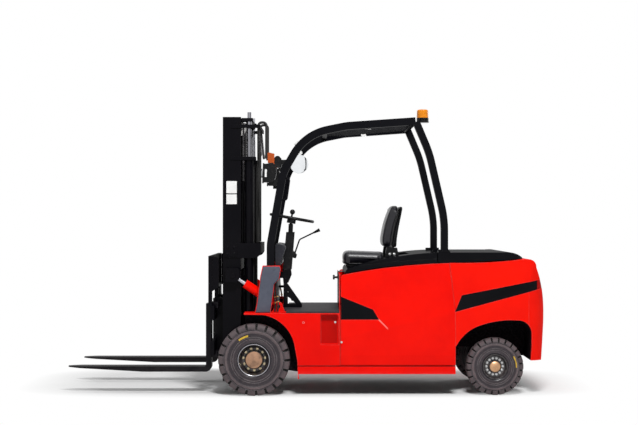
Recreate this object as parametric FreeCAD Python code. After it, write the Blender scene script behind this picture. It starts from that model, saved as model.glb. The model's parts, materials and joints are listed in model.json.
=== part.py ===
"""Electric counterbalance forklift: four wheels, a two-stage mast, forks and an overhead guard.

Millimetres. +X is forward, +Y is left and +Z is up. The model is laid out from the front axle,
with the ground at Z = 0, and save() moves it so that the origin is the centre of its box on the ground.
"""

import FreeCAD
import Part
import math
import os

V = FreeCAD.Vector
X_AXIS, Y_AXIS, Z_AXIS = V(1, 0, 0), V(0, 1, 0), V(0, 0, 1)

# Wheels and axles
WHEELBASE = 1976.0
BODY_HALF_W = 560.0
FRONT_TYRE_D = 588.0
FRONT_TYRE_W = 170.0
FRONT_RIM_D = 254.0
FRONT_TYRE_OUTER_Y = BODY_HALF_W + 15
REAR_TYRE_D = 470.0
REAR_TYRE_W = 132.0
REAR_RIM_D = 203.0
REAR_TYRE_OUTER_Y = BODY_HALF_W - 30
FRONT_R = FRONT_TYRE_D / 2
REAR_R = REAR_TYRE_D / 2
FRONT_LUGS = 21
REAR_LUGS = 24
LUG_H = 9.0
AXLE_TUBE_R = 65.0
AXLE_CASE_R = 108.0
KINGPIN_Y = REAR_TYRE_OUTER_Y - REAR_TYRE_W - 26
KINGPIN_R = 18.0
SPINDLE_R = 24.0
STEER_BEAM_W = 104.0
STEER_BEAM_H = 96.0
TRUNNION_R = 26.0
TONGUE_Z = REAR_R + 121
TONGUE_T = 16.0
YOKE_T = 18.0
RUNNING_GAP = 0.1
SEAT_GAP = 0.3
BOLT_R = 8.0
BOLT_H = 6.0

# Body
REAR_AXLE_X = -WHEELBASE
BODY_BOTTOM_Z = 180.0
SILL_TOP_Z = 246.0
SEAM = 4.0
CREASE_SEAM = 1.5
FENDER_TOP_Z = FRONT_TYRE_D + 89
FENDER_FRONT_X = 82.0
FENDER_T = 12.0
FLOOR_Z = FENDER_TOP_Z + 13
FLOOR_FRONT_X = -262.0
FRONT_ARCH_R = FRONT_R + 62
SKIN_T = 6.0
PLATE_T = 12.0
INNER_WALL_Y = FRONT_TYRE_OUTER_Y - FRONT_TYRE_W - 15
PANEL_FRONT_X = -708.0
FLOOR_REAR_X = PANEL_FRONT_X + SEAM + SKIN_T + 0.5
PANEL_REAR_TOP_X = REAR_AXLE_X + 376
PANEL_REAR_X = REAR_AXLE_X + 329
REAR_CROSS_X = REAR_AXLE_X + 384
HOOD_FRONT_X = -752.0
HOOD_REAR_X = REAR_AXLE_X + 476
HOOD_SIDE_Y = BODY_HALF_W - 26
HOOD_T = 7.0
COVER_TOP_Z = 1172.0
HOOD_HINGE_X = HOOD_REAR_X + 8
HOOD_HINGE_Z = COVER_TOP_Z + 6
HINGE_R = 9.0
SEAT_DECK_Z = 1046.0
BODY_TOP_Z = 1084.0
REAR_X = REAR_AXLE_X - 424
WHEEL_WELL_Y = 170.0

# Overhead guard
GUARD_INNER_Y = INNER_WALL_Y + 50
GUARD_TUBE_W = 60.0
GUARD_TUBE_D = 62.0
REAR_LEG_D = 58.0
POST_TOP_Z = FENDER_TOP_Z + 389
ROOF_BARS = 6

# Mast
MAST_REAR_X = 121.0
MAST_DEPTH = 150.0
MAST_OUTER_Y = FRONT_TYRE_OUTER_Y - FRONT_TYRE_W - 55
RAIL_W = 60.0
RAIL_WEB = 14.0
RAIL_FLANGE = 16.0
MAST_BOTTOM_Z = 95.0
MAST_TOP_Z = 2298.0
MAST_GAP = 6.0
REST_LIFT = 65.0
INNER_TOP_Z = 2290.0
TILT_FORWARD = 6.0
TILT_BACK = 6.0
LIFT_UP = 1400.0
LIFT_CYL_X = 52.0
LIFT_CYL_Y = MAST_OUTER_Y - 42
LIFT_BARREL_R = 35.0
LIFT_ROD_R = 20.0
LIFT_BASE_Z = FRONT_R + AXLE_TUBE_R + 16
LIFT_BARREL_TOP_Z = 1955.0
SHEAVE_X = 168.0
SHEAVE_Y = MAST_OUTER_Y - 157
SHEAVE_Z = 2236.0
SHEAVE_R = 60.0
SHEAVE_W = 30.0

# Carriage and forks
FORK_LENGTH = 1148.0
FORK_T = 45.0
FORK_W = 122.0
FORK_BOTTOM_Z = 180.0
FORK_FACE_X = 406.0
FORK_Y = MAST_OUTER_Y - 10
FORK_TOP_Z = 745.0
CARRIAGE_BAR_T = 32.0
CARRIAGE_BAR_H = 120.0
CARRIAGE_H = 407.0
CARRIAGE_HALF_W = BODY_HALF_W - 60
HOOK_GAP = 0.5
BACKREST_TOP_Z = 1142.0
BACKREST_HALF_W = CARRIAGE_HALF_W

# Tilt cylinders
TILT_Y = MAST_OUTER_Y + 42
TILT_REAR = V(-199, 0, FENDER_TOP_Z + 46)
TILT_FRONT = V(182, 0, FENDER_TOP_Z + 300)
TILT_BARREL_R = 37.0
TILT_ROD_R = 17.0
TILT_PIN_R = 14.0
TILT_EYE_GAP = 6.0

FRONT_AXLE = V(0, 0, FRONT_R)
REAR_AXLE = V(REAR_AXLE_X, 0, REAR_R)
FORK_TIP_X = FORK_FACE_X + FORK_LENGTH
ORIGIN_X = (FORK_TIP_X + REAR_X) / 2


def box(x0, x1, y0, y1, z0, z1):
    """A box between two corners, given in either order."""
    low = V(min(x0, x1), min(y0, y1), min(z0, z1))
    return Part.makeBox(abs(x1 - x0), abs(y1 - y0), abs(z1 - z0), low)


def rod(start, end, radius):
    """A round bar from start to end."""
    along = end - start
    return Part.makeCylinder(radius, along.Length, start, along)


def tube(start, end, outer, inner):
    return rod(start, end, outer).cut(rod(start, end, inner))


def outline(path, place):
    """A closed wire. A path item is a point (a, b), or (middle, end) for an arc through middle."""
    edges = []
    start = here = place(*path[0])
    for item in path[1:]:
        if isinstance(item[0], tuple):
            middle, end = place(*item[0]), place(*item[1])
            edges.append(Part.Arc(here, middle, end).toShape())
        else:
            end = place(*item)
            edges.append(Part.makeLine(here, end))
        here = end
    if here.distanceToPoint(start) > 1e-6:
        edges.append(Part.makeLine(here, start))
    return Part.Wire(edges)


def side_prism(path, y0, y1):
    """An outline in X and Z, extruded from y0 to y1."""
    face = Part.Face(outline(path, lambda x, z: V(x, y0, z)))
    return face.extrude(V(0, y1 - y0, 0))


def plan_prism(path, z0, z1):
    """An outline in X and Y, extruded from z0 to z1."""
    face = Part.Face(outline(path, lambda x, y: V(x, y, z0)))
    return face.extrude(V(0, 0, z1 - z0))


def section_prism(path, x0, x1):
    """An outline in Y and Z, extruded from x0 to x1."""
    face = Part.Face(outline(path, lambda y, z: V(x0, y, z)))
    return face.extrude(V(x1 - x0, 0, 0))


def turned(profile, centre, axis=Y_AXIS):
    """A profile of (radius, distance along the axis), turned about the Y or Z axis through centre."""
    if axis == Y_AXIS:
        wire = outline(profile, lambda r, a: centre + V(r, a, 0))
    else:
        wire = outline(profile, lambda r, a: centre + V(r, 0, a))
    return Part.Face(wire).revolve(centre, axis, 360)


def mirrored(shape):
    return shape.mirror(V(0, 0, 0), Y_AXIS)


def pair(shape):
    """A shape on the left and its mirror image on the right."""
    return [shape, mirrored(shape)]


def fuse(shapes):
    """One solid from several that touch or overlap."""
    whole = shapes[0].fuse(shapes[1:]) if len(shapes) > 1 else shapes[0]
    return whole.removeSplitter()


def cut(shape, tools):
    for tool in tools:
        shape = shape.cut(tool)
    return shape


def route(points, radii):
    """A wire of straight runs joined by tangent arcs, one radius for each inner point."""
    edges = []
    here = points[0]
    for before, corner, after, radius in zip(points, points[1:], points[2:], radii):
        to_before = (before - corner).normalize()
        to_after = (after - corner).normalize()
        turn = to_before.getAngle(to_after)
        reach = radius / math.tan(turn / 2)
        enter, leave = corner + to_before * reach, corner + to_after * reach
        bisector = (to_before + to_after).normalize()
        middle = corner + bisector * (radius / math.sin(turn / 2) - radius)
        edges.append(Part.makeLine(here, enter))
        edges.append(Part.Arc(enter, middle, leave).toShape())
        here = leave
    edges.append(Part.makeLine(here, points[-1]))
    return Part.Wire(edges)


def bent_rod(points, radii, radius):
    """A round bar along a route."""
    path = route(points, radii)
    ring = Part.Wire(Part.makeCircle(radius, points[0], points[1] - points[0]))
    return path.makePipeShell([ring], True, False)


def bent_bar(points, radii, width, depth):
    """A rectangular tube bent in an XZ plane: width is along Y, depth is in the plane of the bend."""
    path = route(points, radii)
    along = (points[1] - points[0]).normalize()
    across = along.cross(Y_AXIS).normalize() * (depth / 2)
    side = Y_AXIS * (width / 2)
    start = points[0]
    corners = [start + across + side, start - across + side, start - across - side, start + across - side]
    ring = Part.makePolygon(corners + [corners[0]])
    return path.makePipeShell([ring], True, False)


def save(name, *shapes):
    """Writes the solids of one node, moved so that the origin is under the middle of the part."""
    solids = [solid for shape in shapes for solid in shape.Solids]
    node = Part.makeCompound(solids)
    node.translate(V(-ORIGIN_X, 0, 0))
    node.exportStep(os.path.join("parts", name + ".step"))


# Chassis

# The rear wheel arch, with X counted from the rear axle
REAR_ARCH = [
    (329, 100),
    (329, 395),
    ((260, 496), (124, 578)),
    ((-14, 612), (-177, 618)),
    ((-262, 586), (-295, 500)),
    (-295, 400),
    (-272, 100),
]


def from_rear_axle(path):
    """The same path with its X, counted from the rear axle, counted from the front axle."""
    moved = []
    for item in path:
        if isinstance(item[0], tuple):
            moved.append(tuple((REAR_AXLE_X + x, z) for x, z in item))
        else:
            moved.append((REAR_AXLE_X + item[0], item[1]))
    return moved


def body_section(inset, z0, z1):
    """The slightly barrelled cross-section of the body, as an outline in Y and Z."""
    top, middle, bottom = BODY_HALF_W - 22 - inset, BODY_HALF_W - inset, BODY_HALF_W - 4 - inset
    return [
        (bottom, z0),
        ((middle, (z0 + z1) / 2), (top, z1)),
        (-top, z1),
        ((-middle, (z0 + z1) / 2), (-bottom, z0)),
    ]


def front_arch(grow=0.0):
    """The opening over the front wheel: flat over the tyre, then round behind it, down to the flap."""
    edge = FRONT_ARCH_R + grow
    lip = FENDER_TOP_Z - FENDER_T + grow
    return [
        (FENDER_FRONT_X + 20, lip),
        (-0.22 * edge, lip - 3),
        ((-0.68 * edge, FRONT_R + 0.80 * edge), (-0.93 * edge, FRONT_R + 0.35 * edge)),
        (-1.00 * edge, FRONT_R - 10),
        (-1.02 * edge, 0),
        (FENDER_FRONT_X + 20, 0),
    ]


FLAP_X = -1.02 * FRONT_ARCH_R
STEP_POCKET_X = (-548.0, -694.0)
STEP_POCKET_Z = (418.0, FENDER_TOP_Z - 13)
STEP_POCKET_DEEP = 46.0


def bolt(x, y, z, face=1, radius=BOLT_R, height=BOLT_H):
    """A hexagon bolt head that stands on a face turned towards +Y or -Y."""
    start = V(x, y, z)
    turns = [math.radians(a) for a in range(0, 360, 60)]
    corners = [start + V(radius * math.cos(turn), 0, radius * math.sin(turn)) for turn in turns]
    return Part.Face(Part.makePolygon(corners + [corners[0]])).extrude(V(0, face * height, 0))


def make_chassis_side():
    """The left side of the frame: skin with sill and fender, inner wall, closing plates, step, post and clevis."""
    inner_y = BODY_HALF_W - PLATE_T
    panel_edge = PANEL_FRONT_X + SEAM
    skin = side_prism(
        [
            (FENDER_FRONT_X, FENDER_TOP_Z - FENDER_T), (FENDER_FRONT_X, FENDER_TOP_Z), (panel_edge, FENDER_TOP_Z),
            (panel_edge, SILL_TOP_Z), (PANEL_REAR_X, SILL_TOP_Z), (PANEL_REAR_X, BODY_BOTTOM_Z),
            (FLAP_X, BODY_BOTTOM_Z), (FLAP_X - 8, BODY_BOTTOM_Z - 40), (FENDER_FRONT_X, BODY_BOTTOM_Z - 40),
        ],
        inner_y,
        BODY_HALF_W,
    )
    fender = box(FENDER_FRONT_X, FLAP_X - 60, INNER_WALL_Y, BODY_HALF_W, FENDER_TOP_Z - FENDER_T, FENDER_TOP_Z)
    liner = side_prism(front_arch(4), INNER_WALL_Y, BODY_HALF_W - 2).cut(side_prism(front_arch(), 0, BODY_HALF_W + 9))
    liner = liner.common(box(FENDER_FRONT_X - 40, FLAP_X - 20, 0, BODY_HALF_W, BODY_BOTTOM_Z, FENDER_TOP_Z - 1))
    inner_wall = side_prism(
        [
            (FENDER_FRONT_X, FENDER_TOP_Z), (PANEL_REAR_X + 2, FENDER_TOP_Z), (PANEL_REAR_X + 2, BODY_BOTTOM_Z),
            (FLAP_X, BODY_BOTTOM_Z), (-100, FRONT_R - 80), (70, FRONT_R - 80), (FENDER_FRONT_X, FRONT_R + 100),
        ],
        INNER_WALL_Y - PLATE_T,
        INNER_WALL_Y,
    )
    # Closing plates between the skin and the inner wall: X from, X to, Z from, Z to
    closing_plates = [
        (FLAP_X - 4, PANEL_REAR_X, BODY_BOTTOM_Z, BODY_BOTTOM_Z + PLATE_T),
        (PANEL_REAR_X, PANEL_REAR_X + PLATE_T, BODY_BOTTOM_Z, SILL_TOP_Z),
        (FLAP_X - 60, panel_edge, FENDER_TOP_Z - FENDER_T, FENDER_TOP_Z),
        (panel_edge, panel_edge + PLATE_T, BODY_BOTTOM_Z, FENDER_TOP_Z),
    ]
    plates = [box(x0, x1, INNER_WALL_Y - 1, BODY_HALF_W - 1, z0, z1) for x0, x1, z0, z1 in closing_plates]
    side = cut(fuse([skin, fender, inner_wall] + plates), [side_prism(front_arch(), INNER_WALL_Y, BODY_HALF_W + 20)])
    pocket = box(*STEP_POCKET_X, BODY_HALF_W - STEP_POCKET_DEEP, BODY_HALF_W, *STEP_POCKET_Z)
    cup = box(
        STEP_POCKET_X[0] + SKIN_T, STEP_POCKET_X[1] - SKIN_T, BODY_HALF_W - STEP_POCKET_DEEP - SKIN_T,
        BODY_HALF_W - 1, STEP_POCKET_Z[0] - SKIN_T, STEP_POCKET_Z[1] + SKIN_T,
    )
    # A shallow channel along the sill, as wide as the groove under the side panel
    groove = box(FLAP_X - 4, panel_edge, BODY_HALF_W - 3, BODY_HALF_W, SILL_TOP_Z, SILL_TOP_Z + SEAM)
    side = side.fuse(cup).cut(pocket).cut(groove)
    post = side_prism(post_outline(6), GUARD_INNER_Y - 4, GUARD_INNER_Y + GUARD_TUBE_W + 4)
    ears = [
        side_prism(
            [
                (TILT_REAR.x + 57, FENDER_TOP_Z), (TILT_REAR.x + 32, TILT_REAR.z),
                ((TILT_REAR.x, TILT_REAR.z + 32), (TILT_REAR.x - 32, TILT_REAR.z)),
                (TILT_REAR.x - 49, FENDER_TOP_Z),
            ],
            TILT_Y + side_y, TILT_Y + side_y + 12,
        )
        for side_y in (-42, 30)
    ]
    base = box(
        TILT_REAR.x + 69, TILT_REAR.x - 61, TILT_Y - 42, INNER_WALL_Y + 40, FENDER_TOP_Z - FENDER_T, FENDER_TOP_Z,
    )
    pin_hole = rod(TILT_REAR + V(0, TILT_Y - 60, 0), TILT_REAR + V(0, TILT_Y + 60, 0), TILT_PIN_R)
    head = bolt(FLAP_X - 42, BODY_HALF_W, FENDER_TOP_Z - 77)
    return fuse([side, liner, post, base, head] + ears).cut(pin_hole)


def make_chassis():
    """The red welded frame: two sides, floor bearers, battery tray, bulkheads and the rear axle's tongue."""
    left = make_chassis_side()
    half = INNER_WALL_Y
    bearers = [box(x, x - 40, -half, half, FENDER_TOP_Z - 60, FENDER_TOP_Z) for x in (-170, -430, -660)]
    tray = box(PANEL_FRONT_X, PANEL_REAR_X, -half, half, BODY_BOTTOM_Z + 20, BODY_BOTTOM_Z + 32)
    panel_x = PANEL_FRONT_X + SEAM
    front_panel = box(panel_x, panel_x + SKIN_T, -BODY_HALF_W + 30, BODY_HALF_W - 30, FENDER_TOP_Z, 985)
    rear_cross = box(REAR_CROSS_X, REAR_CROSS_X + 16, -HOOD_SIDE_Y, HOOD_SIDE_Y, BODY_BOTTOM_Z + 20, BODY_TOP_Z - 20)
    # The tongue that carries the steered axle on two bearing plates
    tongue = box(REAR_CROSS_X, REAR_AXLE_X - 96, -60, 60, TONGUE_Z, TONGUE_Z + TONGUE_T)
    hangers = [box(REAR_AXLE_X + x, REAR_AXLE_X + x + 24, -55, 55, REAR_R - 45, TONGUE_Z) for x in (-94, 70)]
    trunnion_hole = rod(REAR_AXLE - V(120, 0, 0), REAR_AXLE + V(120, 0, 0), TRUNNION_R + SEAT_GAP)
    hangers = [cut(hanger, [trunnion_hole]) for hanger in hangers]
    axle_hole = rod(FRONT_AXLE - V(0, half, 0), FRONT_AXLE + V(0, half, 0), AXLE_TUBE_R)
    frame = fuse([left, mirrored(left), tray, front_panel, rear_cross, tongue] + bearers + hangers)
    return cut(frame, [axle_hole])


def post_outline(grow):
    """The upright at the foot of the guard's front leg, and its grey cover, in X and Z."""
    return [
        (-9 + grow, FENDER_TOP_Z),
        (-24 + grow, FENDER_TOP_Z + 61),
        (-56 + grow, FENDER_TOP_Z + 302),
        (-74 + grow, POST_TOP_Z - 10 + grow),
        (-208 - grow / 2, POST_TOP_Z - 10 + grow),
        (-215 - grow / 2, FENDER_TOP_Z + 359),
        (-202 - grow / 2, FENDER_TOP_Z + 275),
        (-162 - grow / 2, FENDER_TOP_Z + 234),
        (-131 - grow / 2, FENDER_TOP_Z),
    ]


def make_floor():
    mat = box(FLOOR_FRONT_X, FLOOR_REAR_X, -BODY_HALF_W + 2, BODY_HALF_W - 2, FENDER_TOP_Z + SEAT_GAP, FLOOR_Z)
    toe_y = TILT_Y - 50
    toe = box(FLOOR_FRONT_X, -150, -toe_y, toe_y, FENDER_TOP_Z + SEAT_GAP, FLOOR_Z)
    return fuse([mat, toe])


def make_drive_axle():
    """The front axle: tube, reduction case and drive motor, with a spindle at each end."""
    centre = FRONT_AXLE
    end = FRONT_TYRE_OUTER_Y - FRONT_TYRE_W - 12
    parts = [
        rod(centre - V(0, end, 0), centre + V(0, end, 0), AXLE_TUBE_R),
        rod(centre - V(0, 120, 0), centre + V(0, 120, 0), AXLE_CASE_R),
        rod(centre - V(0, end + 120, 0), centre + V(0, end + 120, 0), SPINDLE_R),
        rod(centre + V(-60, 0, 0), centre + V(-420, 0, 0), 100),
    ]
    return fuse(parts)


def make_steer_axle():
    """The rear beam with its kingpin yokes, trunnion and steering cylinder."""
    centre = REAR_AXLE
    half_w, half_h = STEER_BEAM_W / 2, STEER_BEAM_H / 2
    beam = box(
        centre.x - half_w, centre.x + half_w, -KINGPIN_Y + 60, KINGPIN_Y - 60,
        centre.z - half_h, centre.z + half_h,
    )
    yoke_y = KINGPIN_Y - 70
    ends = []
    for z in (centre.z - half_h - YOKE_T, centre.z + half_h):
        plate = box(centre.x - 30, centre.x + 30, KINGPIN_Y, yoke_y, z, z + YOKE_T)
        boss = Part.makeCylinder(30, YOKE_T, V(centre.x, KINGPIN_Y, z))
        bore = Part.makeCylinder(KINGPIN_R + RUNNING_GAP, YOKE_T, V(centre.x, KINGPIN_Y, z))
        ends.append(plate.fuse(boss).cut(bore))
    web = box(
        centre.x - 30, centre.x + 30, yoke_y, yoke_y + 30,
        centre.z - half_h - YOKE_T, centre.z + half_h + YOKE_T,
    )
    ends.append(web)
    trunnion = rod(V(centre.x - 96, 0, centre.z), V(centre.x + 96, 0, centre.z), TRUNNION_R)
    cylinder_x, cylinder_z = centre.x, centre.z + half_h + 36
    cylinder = rod(V(cylinder_x, -130, cylinder_z), V(cylinder_x, 130, cylinder_z), 30)
    rods = rod(V(cylinder_x, -205, cylinder_z), V(cylinder_x, 205, cylinder_z), 13)
    saddles = [
        box(cylinder_x - 24, cylinder_x + 24, y - 12, y + 12, centre.z + half_h - 20, cylinder_z)
        for y in (-90, 90)
    ]
    return fuse([beam, trunnion, cylinder, rods] + ends + [mirrored(end) for end in ends] + saddles)


def panel_outline():
    """The side panel in X and Z: its top follows the hood, its foot the sill, its rear the counterweight."""
    return [
        (PANEL_FRONT_X, SILL_TOP_Z + SEAM),
        (PANEL_FRONT_X - 3, 960),
        ((PANEL_FRONT_X - 12, 984), (PANEL_FRONT_X - 34, 992)),
        ((-1133, 1052), (PANEL_REAR_TOP_X + CREASE_SEAM, BODY_TOP_Z)),
        (PANEL_REAR_X + 2, 686),
        (PANEL_REAR_X, 412),
        (PANEL_REAR_X, SILL_TOP_Z + SEAM),
    ]


# The wedge in the side panel, and the stripe on the counterweight with X counted from the rear axle
WEDGE = [(PANEL_FRONT_X - 3, 812), (-973, 706), (-1022, 624), (PANEL_FRONT_X - 3, 624)]
STRIPE = [(277, 823), (-330, 942), (-484, 972), (-484, 903), (-340, 867), (334, 686)]
INSERT_DEEP = 3.0
RECESS_DEEP = 10.0
SIDE_REACH = BODY_HALF_W + 60
LAMP_X = REAR_AXLE_X - 342


def body_slab(inset, x0, x1):
    """The body's section between two X positions."""
    return section_prism(body_section(inset, SILL_TOP_Z, 1100), x0, x1)


def make_side_panel():
    """One curved side panel with the window for its black insert."""
    shell = body_slab(0, PANEL_REAR_X - 10, PANEL_FRONT_X + 10).cut(
        section_prism(body_section(SKIN_T, SILL_TOP_Z - 1, 1101), PANEL_REAR_X - 20, PANEL_FRONT_X + 20)
    )
    region = side_prism(panel_outline(), BODY_HALF_W - 160, SIDE_REACH)
    window = side_prism(WEDGE, BODY_HALF_W - 160, SIDE_REACH)
    return shell.common(region).cut(window)


def make_inserts():
    """The black inserts: the wedge in each side panel and the stripe in each side of the counterweight."""
    outer = body_slab(INSERT_DEEP, -1100, PANEL_FRONT_X)
    inner = section_prism(body_section(INSERT_DEEP + 8, SILL_TOP_Z - 1, 1101), -1110, PANEL_FRONT_X + 10)
    wedge = outer.cut(inner).common(side_prism(WEDGE, BODY_HALF_W - 160, SIDE_REACH))
    stripe = stripe_band(INSERT_DEEP).common(box(0, LAMP_X, 300, SIDE_REACH, 600, 1000))
    return pair(wedge) + pair(stripe)


def stripe_band(inset):
    """A layer of the counterweight's skin in the form of the stripe, down to the floor of its recess."""
    skin = counterweight_block(inset).cut(counterweight_block(RECESS_DEEP))
    return skin.common(side_prism(from_rear_axle(STRIPE), 300, SIDE_REACH))


def make_tail_lamp():
    """A lamp that follows the rear corner at the end of the stripe."""
    return stripe_band(1).common(box(LAMP_X - 2, REAR_X - 60, 300, SIDE_REACH, 600, 1000))


def counterweight_block(inset):
    """The outer form of the counterweight: its plan, its side view and its barrelled section together."""
    rear = REAR_X + inset
    reach = SIDE_REACH + 20
    corner_x, corner_y = rear + 150, BODY_HALF_W - 8 - inset
    front_x = PANEL_REAR_TOP_X + 60
    plan = plan_prism(
        [
            (front_x, -reach),
            (corner_x + 60, -reach),
            (corner_x, -corner_y),
            ((rear + 34, -corner_y + 74), (rear + 12, -corner_y + 222)),
            ((rear, 0), (rear + 12, corner_y - 222)),
            ((rear + 34, corner_y - 74), (corner_x, corner_y)),
            (corner_x + 60, reach),
            (front_x, reach),
        ],
        100,
        1200,
    )
    ax = REAR_AXLE_X
    side = side_prism(
        [
            (PANEL_REAR_TOP_X - CREASE_SEAM, BODY_TOP_Z + 3 - inset),
            ((ax - 60, 1099 - inset), (ax - 230, 1116 - inset)),
            (ax - 268, 1116 - inset),
            ((ax - 318 + inset, 1098 - inset), (ax - 337 + inset, 1048)),
            ((ax - 402 + inset, 800), (ax - 404 + inset, 560)),
            (ax - 381 + inset, 290 + inset),
            (ax - 274, 290 + inset),
            (ax - 254, 345 + inset),
            (ax + 286, 345 + inset),
            (PANEL_REAR_X - CREASE_SEAM, 412),
            (PANEL_REAR_X - CREASE_SEAM + 2, 686),
        ],
        -reach - 60,
        reach + 60,
    )
    barrel = section_prism(body_section(inset, SILL_TOP_Z, 1140), REAR_X - 200, front_x + 40)
    return plan.common(side).common(barrel)


JAW_X = REAR_X + 75
JAW_Z = (440.0, 520.0)


def make_counterweight():
    """The cast counterweight: wheel wells, stripe recess, towing jaw and room for the steered axle."""
    block = counterweight_block(0)
    wells = pair(side_prism(from_rear_axle(REAR_ARCH), WHEEL_WELL_Y, SIDE_REACH + 100))
    recess = counterweight_block(-1).cut(counterweight_block(RECESS_DEEP))
    recess = recess.common(side_prism(from_rear_axle(STRIPE), 300, SIDE_REACH + 40))
    jaw = box(REAR_X - 20, JAW_X + 65, -70, 70, *JAW_Z)
    axle_room = box(
        REAR_AXLE_X - 134, PANEL_REAR_TOP_X, -WHEEL_WELL_Y - 10, WHEEL_WELL_Y + 10,
        200, TONGUE_Z + TONGUE_T + SEAT_GAP,
    )
    pin_hole = Part.makeCylinder(16, JAW_Z[1] - JAW_Z[0] + 120, V(JAW_X, 0, JAW_Z[0] - 60))
    return cut(block, wells + pair(recess) + [jaw, axle_room, pin_hole])


def make_tow_pin():
    return Part.makeCylinder(15.5, JAW_Z[1] - JAW_Z[0] + 110, V(JAW_X, 0, JAW_Z[0] - 60 + SEAT_GAP))


def make_cover():
    """The black cover on the counterweight, rounded down at the rear, with the hood's hinge ears."""
    front, ax = HOOD_REAR_X - 6, REAR_AXLE_X
    profile = side_prism(
        [
            (front, BODY_TOP_Z + SEAT_GAP),
            (front, COVER_TOP_Z),
            (ax - 60, COVER_TOP_Z),
            ((ax - 170, 1162), (ax - 246, 1121)),
            (ax - 240, 1116 + SEAT_GAP),
            (PANEL_REAR_TOP_X + 1, BODY_TOP_Z + 3 + SEAT_GAP),
            (PANEL_REAR_TOP_X + 2, BODY_TOP_Z + SEAT_GAP),
        ],
        -SIDE_REACH - 60,
        SIDE_REACH + 60,
    )
    profile = profile.cut(counterweight_block(-SEAT_GAP))
    y = HOOD_SIDE_Y
    plan = plan_prism(
        [
            (front + 5, -y),
            (ax - 84, -y),
            ((ax - 200, -y + 54), (ax - 246, -y + 194)),
            (ax - 246, y - 194),
            ((ax - 200, y - 54), (ax - 84, y)),
            (front + 5, y),
        ],
        1000,
        1300,
    )
    ear = side_prism(
        [
            (front - 12, COVER_TOP_Z - 6), (front, COVER_TOP_Z - 6), (front, COVER_TOP_Z + 1),
            (HOOD_HINGE_X + 12, COVER_TOP_Z + 1), (HOOD_HINGE_X + 12, COVER_TOP_Z + 20), (front - 12, COVER_TOP_Z + 20),
        ],
        HINGE_Y[1] - HINGE_EAR_T,
        HINGE_Y[1],
    )
    bore = rod(V(HOOD_HINGE_X, 300, HOOD_HINGE_Z), V(HOOD_HINGE_X, 360, HOOD_HINGE_Z), HINGE_R + RUNNING_GAP)
    ear = ear.cut(bore)
    return fuse([profile.common(plan)] + pair(ear))


def make_battery():
    return box(-760, REAR_CROSS_X + 40, -INNER_WALL_Y + 20, INNER_WALL_Y - 20, BODY_BOTTOM_Z + 32 + SEAT_GAP, 940)


# Overhead guard


ROOF_FRONT_Z = 2213.0
ROOF_REAR_Z = 2252.0
ROOF_FRONT_X = -760.0
ROOF_REAR_X = REAR_AXLE_X + 650


def make_guard_side():
    """One side of the guard: the bent front leg and roof rail with the bent rear leg welded under it."""
    y = GUARD_INNER_Y + GUARD_TUBE_W / 2
    front = bent_bar(
        [
            V(-133, y, POST_TOP_Z - 4),
            V(-133, y, 1240),
            V(-236, y, 1830),
            V(-420, y, 2145),
            V(ROOF_FRONT_X, y, ROOF_FRONT_Z),
            V(ROOF_REAR_X, y, ROOF_REAR_Z),
        ],
        [300, 420, 420, 500],
        GUARD_TUBE_W,
        GUARD_TUBE_D,
    )
    rear = bent_bar(
        [
            V(ROOF_REAR_X - 6, y, ROOF_REAR_Z - 6),
            V(ROOF_REAR_X - 114, y, 1990),
            V(ROOF_REAR_X - 238, y, 1450),
            V(ROOF_REAR_X - 238, y, COVER_TOP_Z + 6),
        ],
        [900, 900],
        GUARD_TUBE_W,
        REAR_LEG_D,
    )
    foot_x = ROOF_REAR_X - 238
    foot = box(foot_x + 44, foot_x - 44, y - 44, min(y + 44, HOOD_SIDE_Y - 4), COVER_TOP_Z + SEAT_GAP, COVER_TOP_Z + 12)
    heads = [
        Part.makeCylinder(BOLT_R, BOLT_H, V(foot_x + side * 36, y - 36, COVER_TOP_Z + 12)) for side in (-1, 1)
    ]
    return fuse([front, rear, foot] + heads)


def make_guard_roof():
    """Headers and fore-and-aft bars between the two sides."""
    half = GUARD_INNER_Y - SEAT_GAP
    slope = (ROOF_REAR_Z - ROOF_FRONT_Z) / (ROOF_FRONT_X - ROOF_REAR_X)
    front = box(-560, -600, -half, half, ROOF_FRONT_Z - 51, ROOF_FRONT_Z - 11)
    rear = box(ROOF_REAR_X + 36, ROOF_REAR_X - 4, -half, half, ROOF_REAR_Z - 27, ROOF_REAR_Z + 13)
    start, end = -580, ROOF_REAR_X + 16
    rise = (start - end) * slope + 8
    bars = []
    pitch = 2 * half / (ROOF_BARS + 1)
    for n in range(ROOF_BARS):
        y = -half + pitch * (n + 1)
        bars.append(side_prism(
            [
                (start, ROOF_FRONT_Z - 39), (start, ROOF_FRONT_Z - 17),
                (end, ROOF_FRONT_Z - 17 + rise), (end, ROOF_FRONT_Z - 39 + rise),
            ],
            y - 16, y + 16,
        ))
    return fuse([front, rear] + bars)


def make_beacon():
    """The amber lamp: slotted base on an arm from the rear header, and its domed lens."""
    x, y, z = ROOF_REAR_X - 70, GUARD_INNER_Y - 90, ROOF_REAR_Z + 18
    base = fuse([
        box(ROOF_REAR_X - 4 - SEAT_GAP, x - 50, y - 40, y + 40, z - 20, z - 14),
        Part.makeCylinder(50, 32, V(x, y, z - 14)),
    ])
    slots = []
    for angle in range(0, 360, 30):
        slot = box(40, 60, -5, 5, 0, 14)
        slot.rotate(V(0, 0, 0), Z_AXIS, angle)
        slot.translate(V(x, y, z - 6))
        slots.append(slot)
    height = 70
    lens = turned([(0, 0), (49, 0), (47, height - 14), ((43, height - 4), (34, height)), (0, height)],
                  V(x, y, z + 18 + SEAT_GAP), Z_AXIS)
    return cut(base, slots), lens


LAMP_Y = GUARD_INNER_Y + 12


def clear_of_guard(shape, shift):
    """The shape without the room that the guard's left side takes when moved by a small shift."""
    guard = make_guard_side()
    guard.translate(shift)
    return cut(shape, [guard])


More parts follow.
